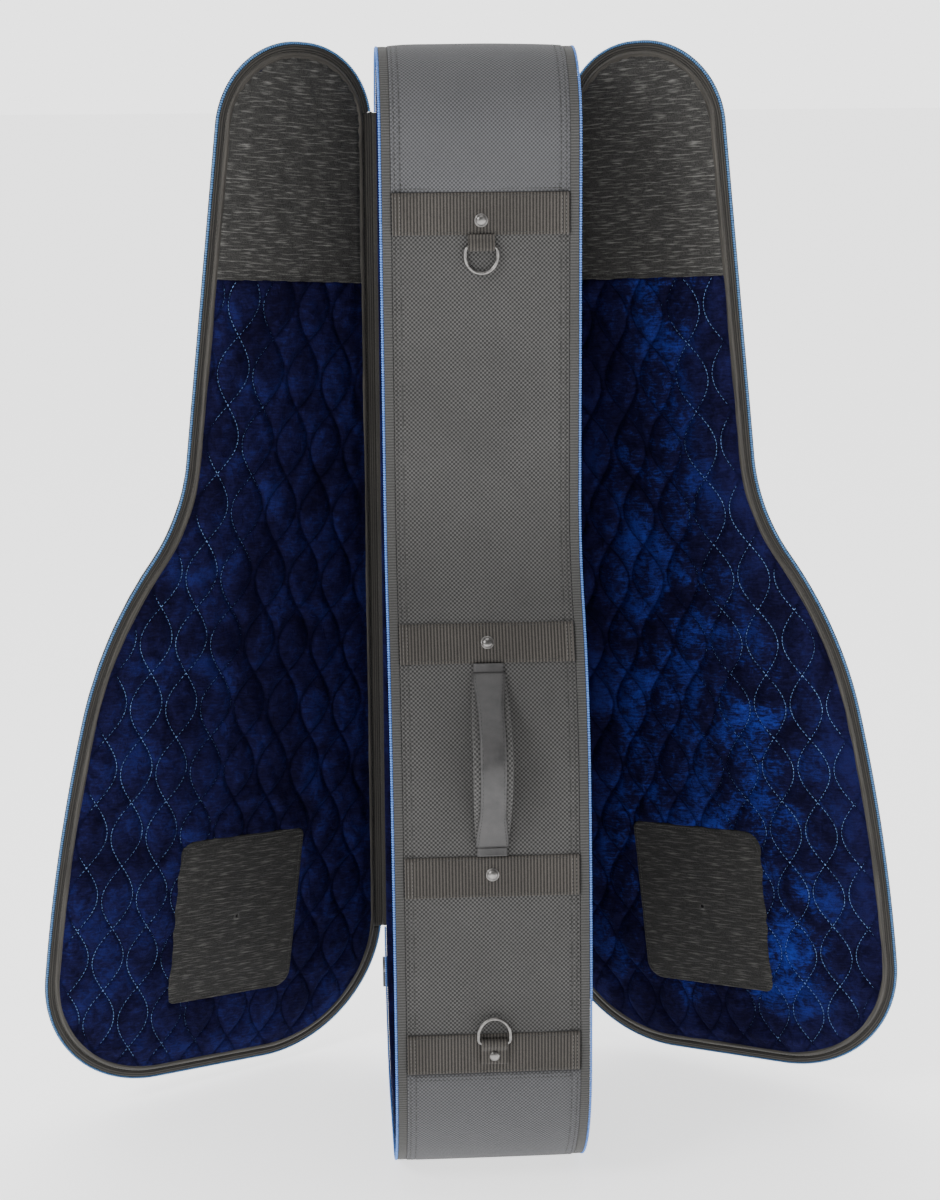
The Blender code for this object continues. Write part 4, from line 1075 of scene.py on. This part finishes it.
def make_lid_shell(name, side, body, place):
    """The lid's padded outer cloth: a round shoulder, then a groove and a flange under the back panel."""
    around = spaced(0, AROUND, 4.0)[:-1]
    angles = np.linspace(0, math.pi / 2, 13)
    insets = np.r_[9.5, 3.9, 20.8 - 17 * np.cos(angles), 23.0, 25.0, 26.0, 27.0, 29.0, 48.0, 48.0]
    heights = np.r_[2.7, 2.7, 3.4 + 21.3 * np.sin(angles), 24.7, 24.3, 22.9, 23.3, 23.6, 23.4, 16.0]
    wave = 0.35 * ripple(around[:, None], heights * 3, 60, 50 + side) * ((heights > 5) & (insets < 22))
    rows, uv = lid_rows(place, around, insets + np.abs(wave), heights)
    faces = grid_faces(len(around), rows.shape[1], loop_rows=True, flip=side < 0)
    add(f"lid_wall_{name}", rows, faces, "lid_nylon", body, uv=uv, nodes=[f"lid_shell_{name}"])
    runs = np.arange(0, AROUND, 4.6)
    for number, (inset, level) in enumerate(((23.6, 24.6), (29.5, 23.8))):
        sheet_stitches(f"shell_stitches_{name}_{number}", place, along(runs, inset)[0],
                       along(runs + 1, inset)[0], level, 1, body, material="thread_grey")


def make_lid_back(name, side, body, place):
    """The padded back panel, inflated as cloth with its sewn edge held."""
    u, v = plane_grid(9.0)
    panel = masked_grid(f"lid_back_{name}", u, v, place(22.4, u, v), depth_inside(u, v) > 24.0, "lid_nylon",
                        body, flip=side < 0)
    points = np.array([vertex.co for vertex in panel.data.vertices])
    closed = (points - TURNS[side][:3, 3]) @ TURNS[side][:3, :3] * 1000
    depth = depth_inside(-closed[:, 1], closed[:, 2])
    outward = place(1.0, 0.0, 0.0) - place(0.0, 0.0, 0.0)
    outward /= np.linalg.norm(outward)
    moved = inflate(panel, depth < 32)
    rise = (moved - points) @ outward
    across = (moved - points) - np.outer(rise, outward)
    across *= np.minimum(1, 0.002 / (np.linalg.norm(across, axis=1, keepdims=True) + 1e-9))
    lift = 0.55 * np.clip(rise, -0.001, 0.0060) + 0.45 * 0.005 * smoothstep(28, 78, depth)
    lift = lift * smoothstep(26, 40, depth) + 0.0026 * smoothstep(29, 43, depth)
    result = points + np.outer(lift, outward) + across * smoothstep(28, 40, depth)[:, None]
    panel.data.vertices.foreach_set("co", result.ravel())
    panel.data.update()
    soften = panel.modifiers.new("soft", "SUBSURF")
    soften.levels = soften.render_levels = 1


def inflate(panel, held):
    """Where a cloth with those points held lies after some air is blown under it."""
    group = panel.vertex_groups.new(name="held")
    group.add([int(i) for i in np.flatnonzero(held)], 1.0, "REPLACE")
    cloth = panel.modifiers.new("cloth", "CLOTH")
    settings = cloth.settings
    settings.vertex_group_mass = "held"
    settings.quality = 5
    settings.mass = 0.3
    settings.tension_stiffness = settings.compression_stiffness = 18
    settings.bending_stiffness = 2.0
    settings.shrink_min = -0.012
    settings.use_pressure = True
    settings.uniform_pressure_force = 1.2
    settings.effector_weights.gravity = 0
    cloth.collision_settings.use_collision = False
    scene = bpy.context.scene
    for number in range(1, 17):
        scene.frame_set(number)
    result = panel.evaluated_get(bpy.context.evaluated_depsgraph_get())
    mesh = result.to_mesh()
    moved = np.empty(len(mesh.vertices) * 3)
    mesh.vertices.foreach_get("co", moved)
    result.to_mesh_clear()
    panel.modifiers.remove(cloth)
    panel.vertex_groups.remove(group)
    scene.frame_set(1)
    return moved.reshape(-1, 3)


# --- Inside the rim


def make_interior():
    quilted_divider()
    runs = spaced(0, AROUND, 3.0)[:-1]
    for name, side in SIDES.items():
        x = np.arange(8.8, 87.5, 3.0)
        gap = quilt_gap(*np.broadcast_arrays(x, runs[:, None]), "right")
        inset = RIM_INNER - 2.6 + 2.2 * (1 - np.exp(-gap / 3.0)) * smoothstep(87, 80, x)
        inset = inset + 0.3 * ripple(x[None], runs[:, None], 18, 60)
        lip = np.broadcast_to((RIM_INNER - 3.0, 14.0, 7.0, 3.4), (len(runs), 4))
        rows, uv = rim_rows(runs, np.r_[x, 88.6, 89.5, 89.6, 89.4], -np.concatenate([inset, lip], 1), side)
        faces = grid_faces(len(runs), rows.shape[1], loop_rows=True, flip=side > 0)
        add(f"rim_velvet_{name}", rows, faces, "velvet", "rim", uv=uv,
            nodes=["rim_lining", "rim_foam"] if side > 0 else [])
        make_cradle(name, side)


def quilted_divider():
    u, v = plane_grid(2.8)
    inside = depth_inside(u, v)
    for name, side in SIDES.items():
        def place(w, a, b, side=side):
            return rim_place(side * (8.3 - np.asarray(w, float)), a, b)

        depth = 2.2 - 0.45 * puffed(u, v, name, 70)
        nodes = [f"divider_lining_{name}"] + (["divider_board"] if side > 0 else [])
        # the divider's velvet gets painted shade in its creases and a middling painted sheen
        panel = masked_grid(f"divider_velvet_{name}", u, v, place(depth, u, v), inside > 14.5, "velvet", "rim",
                            quilt=quilt_map(u, v, name, 0.4), flip=side < 0, nodes=nodes)
        thicken(panel)
        quilt_threads(name, "rim", place, 21, 1050, 5 + side, patch=False)


def make_cradle(name, side):
    """The velvet neck block with its notch, and its strap."""
    top, floor, foot = 68.4, 26.8, 9.0
    middle, low_end, high_end = NECK_MIDDLE, -102.5, 70.2
    shape = np.array([
        (low_end, foot), (low_end, top - 4), (low_end + 4, top), (middle - 35, top), (middle - 31, top - 4),
        (middle - 31, floor + 9), (middle - 22, floor), (middle + 22, floor), (middle + 31, floor + 9),
        (middle + 31, top - 4), (middle + 35, top), (66.5, top), (high_end, top - 4), (high_end, foot)])
    line = resampled(shape, np.linspace(0, lengths(shape)[-1], 150))
    for _ in range(3):
        line[1:-1] = (line[:-2] + 2 * line[1:-1] + line[2:]) / 4
    size = CRADLE_HIGH - CRADLE_LOW
    rows = []
    inward = np.array((middle, 34.0)) - line
    inward /= np.linalg.norm(inward, axis=1, keepdims=True)
    for t in np.r_[0.0, 0.4, 1.4, 3, np.linspace(6, size - 6, 14), size - 3, size - 1.4, size - 0.4, size]:
        pull = 2.6 * (1 - math.sqrt(max(0, 1 - max(0, 1 - min(t, size - t) / 3.0) ** 2)))
        ring = line + inward * pull
        lean = math.tan(TILT) * t * smoothstep(30, -100, ring[:, 0])
        rows.append(rim_place(side * ring[:, 1], ring[:, 0] + lean, CRADLE_LOW + t))
    sweep(f"cradle_velvet_{name}", rows, "velvet", "rim", flip=side < 0, nodes=[f"neck_cradle_{name}"])
    x, level = np.linspace(-STRAP_HALF, STRAP_HALF, 60), 69.95
    rows, uv = [], []
    for t in np.r_[0, 0.4, np.linspace(1.5, 36.5, 8), 37.6, STRAP_WIDTH]:
        thin = 0.9 * (1 - max(0, 1 - min(t, STRAP_WIDTH - t) / 1.2) ** 2)
        front = np.c_[x, level + thin + 0.12 * np.sin(x / 1.9 * math.tau)]
        ring = np.vstack([front, np.c_[x[::-1], np.full(len(x), level - 0.8)]])
        rows.append(rim_place(side * ring[:, 1], middle + ring[:, 0], STRAP_LOW + t))
        uv.append(np.c_[ring[:, 0], np.full(len(ring), t)] / 1000)
    sweep(f"neck_strap_web_{name}", rows, "grosgrain", f"strap_{name}", uv=uv, flip=side > 0,
          nodes=[f"neck_strap_{name}"])


# --- The studio


def make_camera(scene):
    """The photograph's camera, solved from the bag's outline."""
    camera = bpy.data.objects.new("camera", bpy.data.cameras.new("camera"))
    scene.collection.objects.link(camera)
    yaw, pitch, roll = (math.radians(a) for a in (3.58, 12.37, 0.43))
    forward = Vector((math.sin(yaw) * math.cos(pitch), math.cos(yaw) * math.cos(pitch), -math.sin(pitch)))
    right = Vector((math.cos(yaw), -math.sin(yaw), 0))
    down = forward.cross(right)
    right, down = (right * math.cos(roll) + down * math.sin(roll), -right * math.sin(roll) + down * math.cos(roll))
    rotation = Matrix((right, -down, -forward)).transposed().to_4x4()
    camera.matrix_world = Matrix.Translation((-0.1414, -2.1487, 1.0154)) @ rotation
    camera.data.sensor_width = 36
    camera.data.lens = 2254.7 / 1200 * 36  # the focal length over the image's height
    camera.data.clip_end = 1500
    scene.camera = camera


def make_world(scene):
    """White light that grows from the camera's side to behind the bag."""
    world = bpy.data.worlds.new("studio")
    world.use_nodes = True
    nodes, links = world.node_tree.nodes, world.node_tree.links
    parts = nodes.new("ShaderNodeSeparateXYZ")
    links.new(nodes.new("ShaderNodeTexCoord").outputs["Generated"], parts.inputs[0])
    spread = nodes.new("ShaderNodeMapRange")
    for socket, value in ((1, 0.0), (2, 0.6), (3, 0.3), (4, 2.75)):
        spread.inputs[socket].default_value = value
    links.new(parts.outputs[1], spread.inputs[0])
    nodes["Background"].inputs[0].default_value = (1, 1, 1, 1)
    links.new(spread.outputs[0], nodes["Background"].inputs[1])
    scene.world = world


def make_studio():
    scene = bpy.context.scene
    make_camera(scene)
    make_world(scene)
    m = Nodes("floor", (0.93, 0.93, 0.93), 1.0)
    m.put("Specular IOR Level", 0.0)
    m.link(m.mix(m.spread(m.grain(3, 2), 0.3, 0.7), (0.92, 0.92, 0.92), (0.94, 0.94, 0.94)), "Base Color")
    m.put("Emission Color", (1, 1, 1, 1))
    m.put("Emission Strength", 1.5)
    mesh = bpy.data.meshes.new("floor")
    mesh.from_pydata([(-400, -400, 0), (400, -400, 0), (400, 400, 0), (-400, 400, 0)], [], [(0, 1, 2, 3)])
    floor = bpy.data.objects.new("floor", mesh)
    mesh.materials.append(MATERIALS["floor"])
    scene.collection.objects.link(floor)
    for name, place, size, power in (
        ("key", (-2.5, -2.2, 2.8), 1.5, 70),
        ("fill", (2.2, -2.8, 1.8), 2.2, 5),
        ("top", (0.0, -0.5, 3.2), 2.0, 22),
    ):
        light = bpy.data.lights.new(name, "AREA")
        light.shape, light.size, light.energy = "DISK", size, power
        obj = bpy.data.objects.new(name, light)
        obj.location = place
        obj.rotation_euler = (Vector((0, 0, 0.5)) - Vector(place)).to_track_quat("-Z", "Y").to_euler()
        scene.collection.objects.link(obj)


make_studio()
make_rim_cloth()
make_bands()
make_rivets()
make_rings()
make_handle()
make_rim_zips()
make_sliders()
for lid_name, lid_side in SIDES.items():
    make_lid(lid_name, lid_side)
make_interior()
